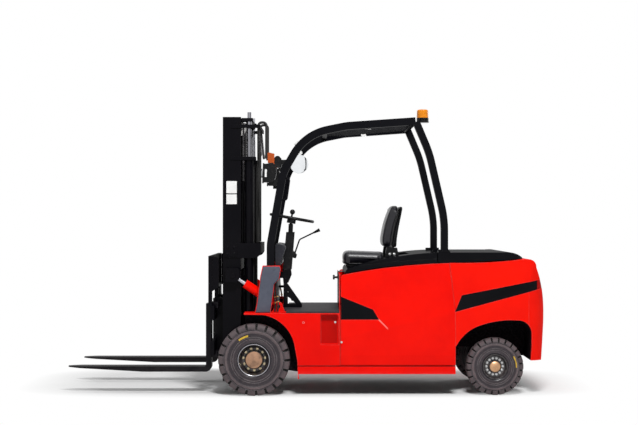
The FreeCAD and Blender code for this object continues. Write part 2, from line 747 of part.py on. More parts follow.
def make_head_lamps():
    """The headlamp on each front leg: a box with a rounded back, its bezel and its bracket, and a box above it."""
    house = side_prism(
        [(-74, 1748), (-80, 1900), (-150, 1908), ((-174, 1880), (-178, 1840)), ((-170, 1780), (-150, 1746))],
        LAMP_Y - 50, LAMP_Y + 34,
    )
    bezel = side_prism([(-64, 1742), (-70, 1906), (-80, 1906), (-74, 1742)], LAMP_Y - 56, LAMP_Y + 40)
    dish = side_prism([(-55, 1752), (-55, 1896), (-73, 1896), (-68, 1752)], LAMP_Y - 46, LAMP_Y + 30)
    bracket = side_prism([(-118, 1719), (-118, 1752), (-240, 1792), (-240, 1719)], LAMP_Y + 2, LAMP_Y + 10)
    lamp = cut(fuse([house, bezel, bracket]), [dish])
    upper = side_prism(
        [
            (INDICATOR_X - SEAT_GAP, 1890), (INDICATOR_X - SEAT_GAP, 1950), ((-184, 1966), (-206, 1962)),
            (-222, 1944), (-222, 1872), (-184, 1868),
        ],
        LAMP_Y - 30, LAMP_Y + 22,
    )
    arm = box(-216, -290, LAMP_Y + 4, LAMP_Y + 12, 1895, 1935)
    return pair(clear_of_guard(fuse([lamp, upper, arm]), V(SEAT_GAP, 0, 0)))


INDICATOR_X = -164.0


def make_indicators():
    """The amber indicator on top of each headlamp, in front of its box."""
    return pair(side_prism(
        [
            (-110, 1908 + SEAT_GAP), (-108, 1984), ((-112, 1992), (-122, 1994)),
            (INDICATOR_X, 1984), (INDICATOR_X, 1908 + SEAT_GAP),
        ],
        LAMP_Y - 34, LAMP_Y + 26,
    ))


MIRROR_R = 84.0
MIRROR_DOME_R = 420.0


def make_mirror():
    """The round convex mirror on a stalk inside the right front leg; drawn on the left and mirrored."""
    normal = V(-0.30, -0.94, -0.12).normalize()
    centre = V(-356, GUARD_INNER_Y - 66, 1937)
    back = Part.makeCylinder(MIRROR_R, 16, centre - normal * 16, normal)
    dome = Part.makeSphere(MIRROR_DOME_R, centre - normal * (MIRROR_DOME_R - 9)).common(
        Part.makeCylinder(MIRROR_R - 4, 30, centre - normal * 2, normal)
    )
    stalk = rod(centre - normal * 8, V(-318, GUARD_INNER_Y + 20, 1960), 7)
    return mirrored(clear_of_guard(fuse([back, dome, stalk]), V(0, -SEAT_GAP, 0)))


def make_grab_handle():
    """The bar that the driver holds when getting in, behind the left front leg."""
    y = GUARD_INNER_Y + GUARD_TUBE_W / 2
    bar = bent_rod(
        [V(-236, y, 1782), V(-288, y, 1778), V(-264, y, 1606), V(-206, y, 1602)], [18, 18], 9,
    )
    return clear_of_guard(bar, V(-SEAT_GAP, 0, 0))


def make_pillar_covers():
    """The grey cover outside each upright, with its outer edges chamfered and one bolt."""
    y = GUARD_INNER_Y + GUARD_TUBE_W + 4 + SEAT_GAP
    body = side_prism(post_outline(0), y, y + 18)
    outer_edges = [e for e in body.Edges if e.BoundBox.YMin > y + 17.9]
    body = body.makeChamfer(5, outer_edges)
    return pair(body.fuse(bolt(-162, y + 17, POST_TOP_Z - 34, height=5)))


# Operator's station


def make_cowl():
    """The dash: a grey moulding on the bulkhead between the posts."""
    half = GUARD_INNER_Y - 4 - SEAT_GAP
    foot_y = TILT_Y - 50
    dash = side_prism(
        [(-172, 1050), (-170, 1226), ((-174, 1236), (-184, 1238)), (-240, 1230), (-254, 1206), (-206, 1056)],
        -half, half,
    )
    bulkhead = box(-172, -182, -foot_y, foot_y, FLOOR_Z + SEAT_GAP, 1052)
    return fuse([dash, bulkhead]).cut(box(-212, -270, -62, 62, 1000, 1250))


def make_column_bracket():
    """The black stand under the steering column: a head, a post and two braced feet with lightening holes."""
    low = FLOOR_Z + SEAT_GAP
    head = side_prism([(-216, 1010), (-290, 1015), (-296, 966), (-268, 900), (-226, 900)], -60, 60)
    post = box(-227, -251, -60, 60, low, 905)
    brace = side_prism([(-230, 902), (-250, 902), (-384, low + 22), (-384, low), (-230, low)], 52, 60)
    holes = [
        side_prism([(-262, low + 92), (-302, low + 62), (-338, low + 24), (-262, low + 24)], 40, 70),
        rod(V(-268, 40, low + 128), V(-268, 70, low + 128), 9),
    ]
    brace = cut(brace, holes)
    plate = box(-182 - SEAT_GAP, -230, -60, 60, 940, 990)
    # The bosses on the head: X, Z, radius
    boss_places = [(-272, 981, 13), (-243, 925, 11)]
    bosses = [rod(V(x, 58, z), V(x, 68, z), radius) for x, z, radius in boss_places]
    side = [brace] + bosses
    return fuse([head, post, plate] + side + [mirrored(part) for part in side])


STEER_CENTRE = V(-298, 0, 1455)
STEER_TILT = 10.0
STEER_R = 182.0
STEER_AXIS = FreeCAD.Rotation(Y_AXIS, -STEER_TILT).multVec(Z_AXIS)
SHAFT_R = 12.0


def make_column():
    """The steering column's tapered cover, boot and hub."""
    low, high = V(-257, 0, 1015 + SEAT_GAP), V(-286, 0, 1335)
    cover = side_prism(
        [(low.x + 38, low.z), (high.x + 36, high.z), (high.x - 36, high.z), (low.x - 40, low.z)], -55, 55,
    )
    boot = rod(high - V(0, 0, 4), STEER_CENTRE - STEER_AXIS * 52, 20)
    shaft = rod(STEER_CENTRE - STEER_AXIS * 90, STEER_CENTRE - STEER_AXIS * 20, SHAFT_R)
    return fuse([cover, boot, shaft])


def make_steering_wheel():
    """Rim, three spokes, hub and spinner knob, tilted to the column."""
    ring = Part.makeTorus(STEER_R, 13, V(0, 0, 0), Z_AXIS)
    hub = Part.makeCylinder(38, 52, V(0, 0, -46))
    spokes = []
    for angle in (0, 120, 240):
        spoke = box(20, STEER_R - 4, -15, 15, -10, -2)
        spoke.rotate(V(0, 0, 0), Z_AXIS, angle + 60)
        spokes.append(spoke)
    stem = Part.makeCylinder(8, 46, V(0, STEER_R, 0))
    knob = Part.makeSphere(22, V(0, STEER_R, 52))
    bore = Part.makeCylinder(SHAFT_R + RUNNING_GAP, 28, V(0, 0, -46))
    wheel = fuse([ring, hub, stem, knob] + spokes).cut(bore)
    wheel.rotate(V(0, 0, 0), Y_AXIS, -STEER_TILT)
    wheel.translate(STEER_CENTRE)
    return wheel


def make_levers():
    """Three bent hydraulic levers on a bracket beside the column."""
    bracket = side_prism([(-262, 1120), (-276, 1205), (-340, 1135), (-330, 1105)], -205, -55 - SEAT_GAP)
    parts = [bracket]
    for y in (-90, -140, -190):
        parts.append(bent_rod([V(-318, y, 1140), V(-362, y, 1268), V(-490, y, 1330)], [30], 6))
        grip = Part.makeCone(7, 15, 62, V(-482, y, 1326), V(-128, 0, 62))
        parts.append(grip)
    return fuse(parts)


def make_pedals():
    """Brake and accelerator, each a pad on an arm from the bulkhead."""
    pedals = []
    for y in (-250, -150):
        foot = FLOOR_Z + 70
        arm = bent_rod([V(-182 - SEAT_GAP, y, foot + 95), V(-240, y, foot + 95), V(-300, y, foot)], [30], 8)
        pad = box(-280, -292, y - 35, y + 35, foot - 30, foot + 30)
        pad.rotate(V(-286, y, foot), Y_AXIS, 30)
        pedals.append(fuse([arm, pad]))
    return pedals


# Hood and seat


HINGE_Y = (HOOD_SIDE_Y - 264, HOOD_SIDE_Y - 190)
HINGE_EAR_T = 10.0
HOOD_ARC_X = -1133.0


def make_hood():
    """The black hood, a deep tray that follows the side panels, with a sunken deck for the seat."""
    front = PANEL_FRONT_X - 36
    side_y = HOOD_SIDE_Y - 2
    rear_z = COVER_TOP_Z - 1
    profile = side_prism(
        [
            (front, 998),
            ((front - 8, 1024), (front - 46, 1044)),
            ((HOOD_ARC_X, 1132), (HOOD_REAR_X, rear_z)),
            (HOOD_REAR_X, BODY_TOP_Z),
            ((HOOD_ARC_X, 1060), (front, 998)),
        ],
        -side_y,
        side_y,
    )
    hollow = side_prism(
        [
            (front - 8, 990),
            (front - 42, 1030),
            ((HOOD_ARC_X, 1124), (HOOD_REAR_X + 8, rear_z - 10)),
            (HOOD_REAR_X + 8, 1000),
        ],
        -side_y + 8,
        side_y - 8,
    )
    well = box(front - 20, -1290, -270, 270, SEAT_DECK_Z, 1300)
    lining = box(front - 14, -1296, -276, 276, SEAT_DECK_Z - 8, 1300)
    shell = profile.cut(hollow).fuse(lining.common(profile)).cut(well)
    notch = box(
        HOOD_REAR_X - 5, HOOD_HINGE_X + 24, HINGE_Y[1] - HINGE_EAR_T - 5, HINGE_Y[1] + 5, COVER_TOP_Z - 60, 1300,
    )
    shell = cut(shell, pair(notch))
    # A shoulder line pressed into each side of the hood
    crease = side_prism(
        [
            (front - 120, 1071), ((HOOD_ARC_X - 120, 1110), (HOOD_REAR_X - 5, 1126)), (HOOD_REAR_X - 5, 1120),
            ((HOOD_ARC_X - 120, 1104), (front - 120, 1065)),
        ],
        side_y - 2,
        side_y + 5,
    )
    shell = cut(shell, pair(crease))
    hinge = rod(V(HOOD_HINGE_X, HINGE_Y[0], HOOD_HINGE_Z), V(HOOD_HINGE_X, HINGE_Y[1], HOOD_HINGE_Z), HINGE_R)
    return fuse([shell] + pair(hinge))


LATCH_X = PANEL_FRONT_X + SEAM + SKIN_T + 3


def make_hood_latch():
    plate = box(LATCH_X, LATCH_X + 6, -40, 40, 930, 998)
    neck = rod(V(LATCH_X, 0, 945), V(LATCH_X + 32, 0, 945), 9)
    knob = rod(V(LATCH_X + 28, 0, 945), V(LATCH_X + 44, 0, 945), 20)
    top = box(LATCH_X + 6, PANEL_FRONT_X - 40, -40, 40, 991, 998)
    return fuse([plate, neck, knob, top])


def make_seat():
    """Base with its side pivots, cushion and back."""
    low = SEAT_DECK_Z + SEAT_GAP
    deck = SEAT_DECK_Z + 16
    pivot = side_prism([(-1076.5, low), (-1100, 1205), (-1190, 1205), (-1226, low)], 205, 240)
    base = fuse([
        box(-760, -1250, -200, 200, low, deck),
        box(-1100, -1220, -240, 240, low, deck),
    ] + pair(pivot))
    deck += SEAT_GAP
    cushion = side_prism(
        [(-760, deck), ((-738, 1090), (-740, 1130)), ((-752, 1166), (-790, 1172)), (-1075, 1160), (-1075, deck)],
        -238,
        238,
    )
    back = side_prism(
        [
            (-1105, 1205 + SEAT_GAP), ((-1068, 1230), (-1072, 1290)), ((-1104, 1440), (-1140, 1530)),
            ((-1160, 1556), (-1190, 1556)), (-1240, 1540), (-1196, 1205 + SEAT_GAP),
        ],
        -222,
        222,
    )
    return base, cushion, back


# Mast


def channel(y_outer, x0, x1, z0, z1):
    """A channel rail on the left, open towards the middle of the truck."""
    y_inner = y_outer - RAIL_W
    return fuse([
        box(x0, x1, y_outer - RAIL_WEB, y_outer, z0, z1),
        box(x0, x0 + RAIL_FLANGE, y_inner, y_outer, z0, z1),
        box(x1 - RAIL_FLANGE, x1, y_inner, y_outer, z0, z1),
    ])


MAST_FRONT_X = MAST_REAR_X + MAST_DEPTH
INNER_RAIL_Y = MAST_OUTER_Y - RAIL_W - MAST_GAP
INNER_BOTTOM_Z = MAST_BOTTOM_Z + REST_LIFT
MOUNT_Y = (MAST_OUTER_Y - 50, MAST_OUTER_Y - 10)


def make_tilt_clevis():
    """The clevis outside the left rail: outer cheek, front web, top plate, boss and the pin with its head."""
    x, z = TILT_FRONT.x, TILT_FRONT.z
    cheek_y = TILT_Y + 26
    side = [(x - 57, z - 19), (x - 35, z - 52), (x + 61, z - 52), (x + 61, z + 63), (x - 42, z + 63), (x - 57, z + 48)]
    cheek = side_prism(side, cheek_y, cheek_y + 12)
    web = box(x + 49, x + 61, MAST_OUTER_Y - 2, cheek_y + 2, z - 52, z + 63)
    top = box(x - 42, x + 61, MAST_OUTER_Y - 2, cheek_y + 2, z + 51, z + 63)
    boss = rod(V(x, MAST_OUTER_Y - 2, z), V(x, MAST_OUTER_Y + 16, z), 26)
    pin = rod(V(x, MAST_OUTER_Y - 2, z), V(x, cheek_y + 12, z), TILT_PIN_R)
    head = rod(V(x, cheek_y + 11, z), V(x, cheek_y + 20, z), 22)
    return [cheek, web, top, boss, pin, head]


def make_chain_anchor():
    """The rod that holds the left chain's rear end: a bracket on the middle tie, the rod and its fork."""
    x = SHEAVE_X - SHEAVE_R + 8 - CHAIN_T / 2
    gap = CHAIN_W / 2 + 1.5
    bracket = box(MID_TIE_X + 6, x + 14, SHEAVE_Y - 16, SHEAVE_Y + 16, MID_TIE_Z[1] - 20, MID_TIE_Z[1] - 4)
    bar = rod(V(x, SHEAVE_Y, MID_TIE_Z[1] - 40), V(x, SHEAVE_Y, CHAIN_ANCHOR_Z - 92), 9)
    block = box(x - 8, x + 8, SHEAVE_Y - gap - 4, SHEAVE_Y + gap + 4, CHAIN_ANCHOR_Z - 96, CHAIN_ANCHOR_Z - 76)
    cheek = box(x - 8, x + 8, SHEAVE_Y + gap, SHEAVE_Y + gap + 4, CHAIN_ANCHOR_Z - 80, CHAIN_ANCHOR_Z + 12)
    other = box(x - 8, x + 8, SHEAVE_Y - gap - 4, SHEAVE_Y - gap, CHAIN_ANCHOR_Z - 80, CHAIN_ANCHOR_Z + 12)
    nut = rod(V(x, SHEAVE_Y, MID_TIE_Z[1] - 4), V(x, SHEAVE_Y, MID_TIE_Z[1] + 10), 15)
    return [bracket, bar, block, cheek, other, nut]


MID_TIE_X = -46.0
MID_TIE_Z = (1121.0, 1245.0)


def make_outer_mast():
    """Outer rails, their cross ties, cylinder shelves, tilt clevises and the bearings round the axle tube."""
    rail = channel(MAST_OUTER_Y, MAST_REAR_X, MAST_FRONT_X, MAST_BOTTOM_Z, MAST_TOP_Z)
    foot = side_prism(
        [
            (MAST_REAR_X + 4, FRONT_R + 72), (0, FRONT_R + 72), ((-96, FRONT_R), (0, FRONT_R - 96)),
            (MAST_REAR_X + 4, FRONT_R - 96),
        ],
        *MOUNT_Y,
    )
    foot = foot.cut(rod(V(0, 200, FRONT_R), V(0, 400, FRONT_R), AXLE_TUBE_R + RUNNING_GAP))
    shelf = box(
        LIFT_CYL_X - 36, MAST_REAR_X + 4, LIFT_CYL_Y - 22, MAST_OUTER_Y - 1, LIFT_BASE_Z - SEAT_GAP - 5,
        LIFT_BASE_Z - SEAT_GAP,
    )
    z0, z1 = MID_TIE_Z
    mid_cheek = side_prism(
        [
            (256, z1), (256, z0 + 20), (236, z0), (MID_TIE_X + 56, z0),
            ((MID_TIE_X + 16, z0 + 16), (MID_TIE_X, z0 + 56)), (MID_TIE_X, z1),
        ],
        MAST_OUTER_Y - 1, MAST_OUTER_Y + 8,
    )
    mid_pad = box(256, 150, MAST_OUTER_Y + 7, MAST_OUTER_Y + 16, z0 + 12, z1 - 12)
    top_cheek = box(-40, 202, MAST_OUTER_Y - 1, MAST_OUTER_Y + 10, 2205, 2234)
    clamp = box(LIFT_CYL_X - 56, MAST_REAR_X + 4, LIFT_CYL_Y - 46, MAST_OUTER_Y + 10, 1938, 1966)
    clamp = clamp.fuse(box(MAST_REAR_X, 202, MAST_OUTER_Y - 1, MAST_OUTER_Y + 10, 1938, 1966))
    clamp = clamp.cut(rod(V(LIFT_CYL_X, LIFT_CYL_Y, 1900), V(LIFT_CYL_X, LIFT_CYL_Y, 2000), LIFT_BARREL_R + SEAT_GAP))
    side = [rail, foot, shelf, mid_cheek, mid_pad, top_cheek, clamp] + make_tilt_clevis() + make_chain_anchor()
    half = MAST_OUTER_Y + 8
    ties = [
        box(MID_TIE_X, MID_TIE_X + 12, -half, half, z0 + 40, z1),
        box(-40, -28, -half - 2, half + 2, 2205, 2234),
        box(MAST_REAR_X - 12, MAST_REAR_X, -MAST_OUTER_Y, MAST_OUTER_Y, MAST_BOTTOM_Z, MAST_BOTTOM_Z + 60),
    ]
    return fuse(side + [mirrored(s) for s in side] + ties)


def make_lift_barrels():
    base, top = V(LIFT_CYL_X, LIFT_CYL_Y, LIFT_BASE_Z), V(LIFT_CYL_X, LIFT_CYL_Y, LIFT_BARREL_TOP_Z)
    barrel = rod(base, top, LIFT_BARREL_R)
    bore = rod(base + V(0, 0, 25), top - V(0, 0, 40), LIFT_ROD_R + 8)
    gland = rod(top - V(0, 0, 60), top + V(0, 0, 10), LIFT_ROD_R + RUNNING_GAP)
    return pair(barrel.cut(bore).cut(gland))


def make_inner_mast():
    """Inner rails, the crosshead that the rods push, ties and the sheaves' axle stubs."""
    gap = 8
    rail = channel(INNER_RAIL_Y, MAST_REAR_X + gap, MAST_FRONT_X - gap, INNER_BOTTOM_Z, INNER_TOP_Z)
    ear = box(LIFT_CYL_X - 30, MAST_REAR_X - 6, INNER_RAIL_Y - 50, MAST_OUTER_Y - 6, 2262, INNER_TOP_Z)
    ear = ear.fuse(box(MAST_REAR_X - 8, MAST_REAR_X + gap + 4, INNER_RAIL_Y - 50, INNER_RAIL_Y, 2262, INNER_TOP_Z))
    stub = rod(V(SHEAVE_X, INNER_RAIL_Y - RAIL_WEB, SHEAVE_Z), V(SHEAVE_X, SHEAVE_Y - SHEAVE_W / 2 - 6, SHEAVE_Z), 15)
    roller = rod(
        V(MAST_REAR_X + MAST_DEPTH / 2, INNER_RAIL_Y - 4, INNER_BOTTOM_Z + 80),
        V(MAST_REAR_X + MAST_DEPTH / 2, MAST_OUTER_Y - RAIL_WEB - 8, INNER_BOTTOM_Z + 80), 54,
    )
    side = [rail, ear, stub, roller]
    half = INNER_RAIL_Y - 10
    ties = [
        box(LIFT_CYL_X - 20, SHEAVE_X - SHEAVE_R - CHAIN_T - 12, -half, half, 2240, INNER_TOP_Z),
        box(MAST_REAR_X + gap, MAST_REAR_X + gap + 10, -half, half, 1020, 1110),
        box(MAST_REAR_X + gap, MAST_REAR_X + gap + 10, -half, half, INNER_BOTTOM_Z, INNER_BOTTOM_Z + 70),
    ]
    return fuse(side + [mirrored(s) for s in side] + ties)


def make_lift_rods():
    """A chromed rod in each barrel, with its piston and the nut over the crosshead."""
    x, y = LIFT_CYL_X, LIFT_CYL_Y
    low = LIFT_BASE_Z + 30 + REST_LIFT
    hole_gap = SEAT_GAP
    shaft = rod(V(x, y, low), V(x, y, 2262 - hole_gap), LIFT_ROD_R)
    piston = rod(V(x, y, low), V(x, y, low + 40), LIFT_ROD_R + 6)
    return pair(fuse([shaft, piston]))


def make_rod_nuts():
    x, y = LIFT_CYL_X, LIFT_CYL_Y
    return pair(rod(V(x, y, INNER_TOP_Z + SEAT_GAP), V(x, y, 2340), 17))


def make_sheaves():
    """A grooved wheel for each chain, free on its stub."""
    bore, groove = 15 + RUNNING_GAP, SHEAVE_R - 8
    half, lip = SHEAVE_W / 2, CHAIN_W / 2 + 0.5
    wheel = turned(
        [
            (bore, -half), (SHEAVE_R, -half), (SHEAVE_R, -lip), (groove, -lip),
            (groove, lip), (SHEAVE_R, lip), (SHEAVE_R, half), (bore, half),
        ],
        V(SHEAVE_X, SHEAVE_Y, SHEAVE_Z),
    )
    return pair(wheel)


CHAIN_W = 24.0
CHAIN_T = 15.0
CHAIN_ANCHOR_Z = 1758.0
CHAIN_CARRIAGE_Z = 772.0


def make_chains():
    """Each chain as one strap: up from the carriage, over the sheave and down to the outer mast."""
    r0, r1 = SHEAVE_R - 8 + SEAT_GAP, SHEAVE_R - 8 + SEAT_GAP + CHAIN_T
    path = [
        (SHEAVE_X + r1, CHAIN_CARRIAGE_Z), (SHEAVE_X + r1, SHEAVE_Z),
        ((SHEAVE_X, SHEAVE_Z + r1), (SHEAVE_X - r1, SHEAVE_Z)),
        (SHEAVE_X - r1, CHAIN_ANCHOR_Z), (SHEAVE_X - r0, CHAIN_ANCHOR_Z), (SHEAVE_X - r0, SHEAVE_Z),
        ((SHEAVE_X, SHEAVE_Z + r0), (SHEAVE_X + r0, SHEAVE_Z)),
        (SHEAVE_X + r0, CHAIN_CARRIAGE_Z),
    ]
    return pair(side_prism(path, SHEAVE_Y - CHAIN_W / 2, SHEAVE_Y + CHAIN_W / 2))


def make_mast_hoses():
    """The hydraulic hose: up the outer mast, over a bend behind the crosshead, and down again."""
    x, y = -28 + 11 + SEAT_GAP, SHEAVE_Y - 43
    loop = bent_rod(
        [V(x, y, 1250), V(x, y, 2268), V(-84, y, 2268), V(-84, y, 1966)],
        [30, 30],
        11,
    )
    beside = (LIFT_BARREL_R + 9 + SEAT_GAP) / math.sqrt(2)
    feed_x, feed_y = LIFT_CYL_X - beside, LIFT_CYL_Y - beside
    feed = rod(V(feed_x, feed_y, 420), V(feed_x, feed_y, 1900), 9)
    ferrule = box(-70, -98, y - 14, y + 14, 1960, 1985)
    return pair(loop.fuse(ferrule)) + pair(feed)


# Carriage and forks

CARRIAGE_X = FORK_FACE_X - FORK_T - HOOK_GAP
CARRIAGE_LOW_Z = FORK_TOP_Z - 12 - CARRIAGE_H


def make_carriage():
    """Two fork bars on the side plates that carry the rollers inside the inner rails."""
    x1 = CARRIAGE_X
    x0 = x1 - CARRIAGE_BAR_T
    half = CARRIAGE_HALF_W
    low, high = CARRIAGE_LOW_Z, CARRIAGE_LOW_Z + CARRIAGE_H
    bars = [
        box(x0, x1, -half, half, low, low + CARRIAGE_BAR_H),
        box(x0, x1, -half, half, high - CARRIAGE_BAR_H, high),
    ]
    plate_y = INNER_RAIL_Y - RAIL_W - 8
    side = side_prism(
        [
            (x0 + 2, low + 6), (x0 + 2, high + 52), (x0 - 24, high + 56), (MAST_REAR_X + 40, high - 10),
            (MAST_REAR_X + 40, low + 30), (x0 - 40, low + 6),
        ],
        plate_y - 14, plate_y,
    )
    rollers = [
        rod(
            V(MAST_REAR_X + MAST_DEPTH / 2, plate_y - 2, z),
            V(MAST_REAR_X + MAST_DEPTH / 2, INNER_RAIL_Y - RAIL_WEB - 6, z), 46,
        )
        for z in (low + 90, high - 70)
    ]
    lug = box(SHEAVE_X + 36, x0 + 2, SHEAVE_Y - 30, SHEAVE_Y - 8, 700, 770)
    shelf = box(SHEAVE_X + 36, x0 + 2, SHEAVE_Y - 30, SHEAVE_Y + 22, 740, CHAIN_CARRIAGE_Z - SEAT_GAP)
    left = [side, lug, shelf] + rollers
    notches = [
        box(x0 - 5, x1 - 12, y - 8, y + 8, high - 12, high + 5)
        for y in (-half + 50, -250, -150, 0, 150, 250, half - 50)
    ]
    return cut(fuse(bars + left + [mirrored(s) for s in left]), notches)


def make_backrest():
    """The load backrest: a frame of flat bars with uprights, bolted to the carriage."""
    x1 = 378.0
    x0 = x1 - 30
    half = BACKREST_HALF_W
    low = 850.0
    parts = [
        box(x0, x1, -half, half, BACKREST_TOP_Z - 40, BACKREST_TOP_Z),
        box(x0, x1, -half, half, low, low + 40),
    ]
    foot_z = CARRIAGE_LOW_Z + CARRIAGE_H + SEAT_GAP
    for y in (-half, half - 40):
        parts.append(box(x0, x1, y, y + 40, foot_z, BACKREST_TOP_Z))
    bars = 7
    for n in range(bars):
        y = -half + 40 + (2 * half - 80) * (n + 0.5) / bars
        parts.append(box(x0 + 8, x1 - 8, y - 9, y + 9, low + 20, BACKREST_TOP_Z - 20))
    feet = [box(x0 - 24, x1 - 20, sign * 100 - 28, sign * 100 + 28, foot_z, low + 10) for sign in (-1, 1)]
    return fuse(parts + feet)


def make_fork():
    """A forged L fork: blade tapered to its tip, heel radius, shank and the two hooks over the bars."""
    y0, y1 = FORK_Y - FORK_W / 2, FORK_Y + FORK_W / 2
    heel = 46
    z0, z1 = FORK_BOTTOM_Z, FORK_BOTTOM_Z + FORK_T
    back = FORK_FACE_X - FORK_T
    body = side_prism(
        [
            (back, FORK_TOP_Z), (FORK_FACE_X, FORK_TOP_Z), (FORK_FACE_X, z1 + 14),
            ((FORK_FACE_X + 4, z1 + 4), (FORK_FACE_X + 14, z1)),
            (FORK_TIP_X, z1), (FORK_TIP_X, z1 - 10), (FORK_FACE_X + 520, z0),
            (back + heel, z0), ((back + heel * 0.29, z0 + heel * 0.29), (back, z0 + heel)),
        ],
        y0,
        y1,
    )
    plan = plan_prism(
        [
            (back - 60, y0), (FORK_TIP_X - 220, y0), ((FORK_TIP_X - 60, FORK_Y - 46), (FORK_TIP_X, FORK_Y - 14)),
            (FORK_TIP_X, FORK_Y + 14), ((FORK_TIP_X - 60, FORK_Y + 46), (FORK_TIP_X - 220, y1)), (back - 60, y1),
        ],
        0,
        FORK_TOP_Z + 50,
    )
    bar_back = CARRIAGE_X - CARRIAGE_BAR_T
    high = CARRIAGE_LOW_Z + CARRIAGE_H
    hook_y0, hook_y1 = y0 + 8, y1 - 8
    top_hook = fuse([
        box(bar_back - HOOK_GAP - 22, back + 2, hook_y0, hook_y1, high + HOOK_GAP, high + HOOK_GAP + 24),
        box(bar_back - HOOK_GAP - 22, bar_back - HOOK_GAP, hook_y0, hook_y1, high - 26, high + HOOK_GAP + 24),
    ])
    low_z = CARRIAGE_LOW_Z - HOOK_GAP
    low_hook = fuse([
        box(bar_back - HOOK_GAP - 18, back + 2, hook_y0, hook_y1, low_z - 26, low_z),
        box(bar_back - HOOK_GAP - 18, bar_back - HOOK_GAP, hook_y0, hook_y1, low_z - 26, low_z + 28),
    ])
    latch = Part.makeCylinder(10, 34, V(bar_back + 14, FORK_Y, high + HOOK_GAP + 20))
    return fuse([body.common(plan), top_hook, low_hook, latch])


# Tilt cylinders

TILT_DIR = (TILT_FRONT - TILT_REAR).normalize()


def tilt_length(angle):
    """Pin to pin length of the tilt cylinder with the mast tilted forward by an angle in degrees."""
    front = TILT_FRONT - FRONT_AXLE
    turn = FreeCAD.Rotation(Y_AXIS, angle)
    return (turn.multVec(front) + FRONT_AXLE - TILT_REAR).Length


EYE_R = 30.0
BARREL_END = tilt_length(-TILT_BACK) - 72


def make_tilt_barrel():
    offset = V(0, TILT_Y, 0)
    rear = TILT_REAR + offset
    shell = rod(rear + TILT_DIR * 52, rear + TILT_DIR * BARREL_END, TILT_BARREL_R)
    bore = rod(rear + TILT_DIR * 66, rear + TILT_DIR * (BARREL_END - 24), TILT_ROD_R + 8)
    gland = rod(rear + TILT_DIR * 66, rear + TILT_DIR * (BARREL_END + 10), TILT_ROD_R + RUNNING_GAP)
    eye = rod(rear - V(0, 26, 0), rear + V(0, 26, 0), EYE_R)
    neck = rod(rear, rear + TILT_DIR * 56, 20)
    pin_hole = rod(rear - V(0, 40, 0), rear + V(0, 40, 0), TILT_PIN_R + RUNNING_GAP)
    shell = shell.cut(bore).cut(gland)
    return fuse([shell, eye, neck]).cut(pin_hole)


def make_tilt_rod():
    offset = V(0, TILT_Y, 0)
    rear, front = TILT_REAR + offset, TILT_FRONT + offset
    stroke_in = tilt_length(0) - tilt_length(-TILT_BACK)
    shaft = rod(rear + TILT_DIR * (72 + stroke_in), front - TILT_DIR * (EYE_R - 4), TILT_ROD_R)
    piston = rod(rear + TILT_DIR * (72 + stroke_in), rear + TILT_DIR * (88 + stroke_in), TILT_ROD_R + 6)
    eye = rod(front - V(0, 18, 0), front + V(0, 18, 0), EYE_R)
    pin_hole = rod(front - V(0, 40, 0), front + V(0, 40, 0), TILT_PIN_R + TILT_EYE_GAP)
    return fuse([shaft, piston, eye]).cut(pin_hole)


def make_tilt_pins():
    """The pins at the cylinders' rear ends, in the frame's clevises."""
    rear = TILT_REAR + V(0, TILT_Y, 0)
    return pair(rod(rear - V(0, 44, 0), rear + V(0, 44, 0), TILT_PIN_R - 0.05))


# Wheels


def tyre_profile(radius, rim_r, width):
    """Half-turned tyre section of (radius, distance from the wheel's middle plane)."""
    half = width / 2
    waist = rim_r + (radius - rim_r) * 0.5
    return [
        (rim_r, -half + 14),
        (rim_r + 12, -half + 5),
        (waist, -half),
        (radius - 40, -half + 1),
        ((radius - 12, -half + 7), (radius, -half + 30)),
        (radius, half - 30),
        ((radius - 12, half - 7), (radius - 40, half - 1)),
        (waist, half),
        (rim_r + 12, half - 5),
        (rim_r, half - 14),
    ]


def make_tyre(centre, radius, rim_r, width, lugs):
    """The tyre, with grooves between its lugs from each shoulder towards the middle of the tread."""
    body = turned(tyre_profile(radius, rim_r + SEAT_GAP, width), centre)
    half = width / 2
    pitch = 360 / lugs
    groove_w = 0.25 * math.tau * radius / lugs
    grooves = []
    for side in (-1, 1):
        for n in range(lugs):
            groove = box(
                -groove_w / 2, groove_w / 2, side * 16, side * (half + 5), radius - LUG_H - 3, radius + 5,
            )
            groove.rotate(V(0, 0, 0), Y_AXIS, pitch * (n + (0.5 if side > 0 else 0)))
            groove.translate(centre)
            grooves.append(groove)
    return cut(body, grooves)


def make_front_rim(centre):
    """The dished rim with its hub, turned about the axle; the outside is towards +Y."""
    r, half = FRONT_RIM_D / 2, FRONT_TYRE_W / 2
    profile = [
        (SPINDLE_R + RUNNING_GAP, -half + 4),
        (96, -half + 4),
        (96, -10),
        (r - 14, -10),
        (r - 14, -half + 16),
        (r, -half + 16),
        (r, half - 16),
        (r - 10, half - 16),
        (r - 18, 14),
        (r - 26, 4),
        (78, 4),
        (73, 20),
        (71, half - 32),
        ((66, half - 22), (52, half - 20)),
        (0, half - 20),
        (0, half - 40),
        (SPINDLE_R + RUNNING_GAP, half - 40),
    ]
    return turned(profile, centre)


def make_rear_rim(centre):
    r, half = REAR_RIM_D / 2, REAR_TYRE_W / 2
    profile = [
        (SPINDLE_R + RUNNING_GAP, 4),
        (r - 10, 4),
        (r - 10, -half + 14),
        (r, -half + 14),
        (r, half - 14),
        (r - 8, half - 14),
        (r - 16, 16),
        (52, 14),
        (46, half - 26),
        ((40, half - 13), (28, half - 9)),
        (0, half - 9),
        (0, half - 22),
        (SPINDLE_R + RUNNING_GAP, half - 22),
    ]
    return turned(profile, centre)


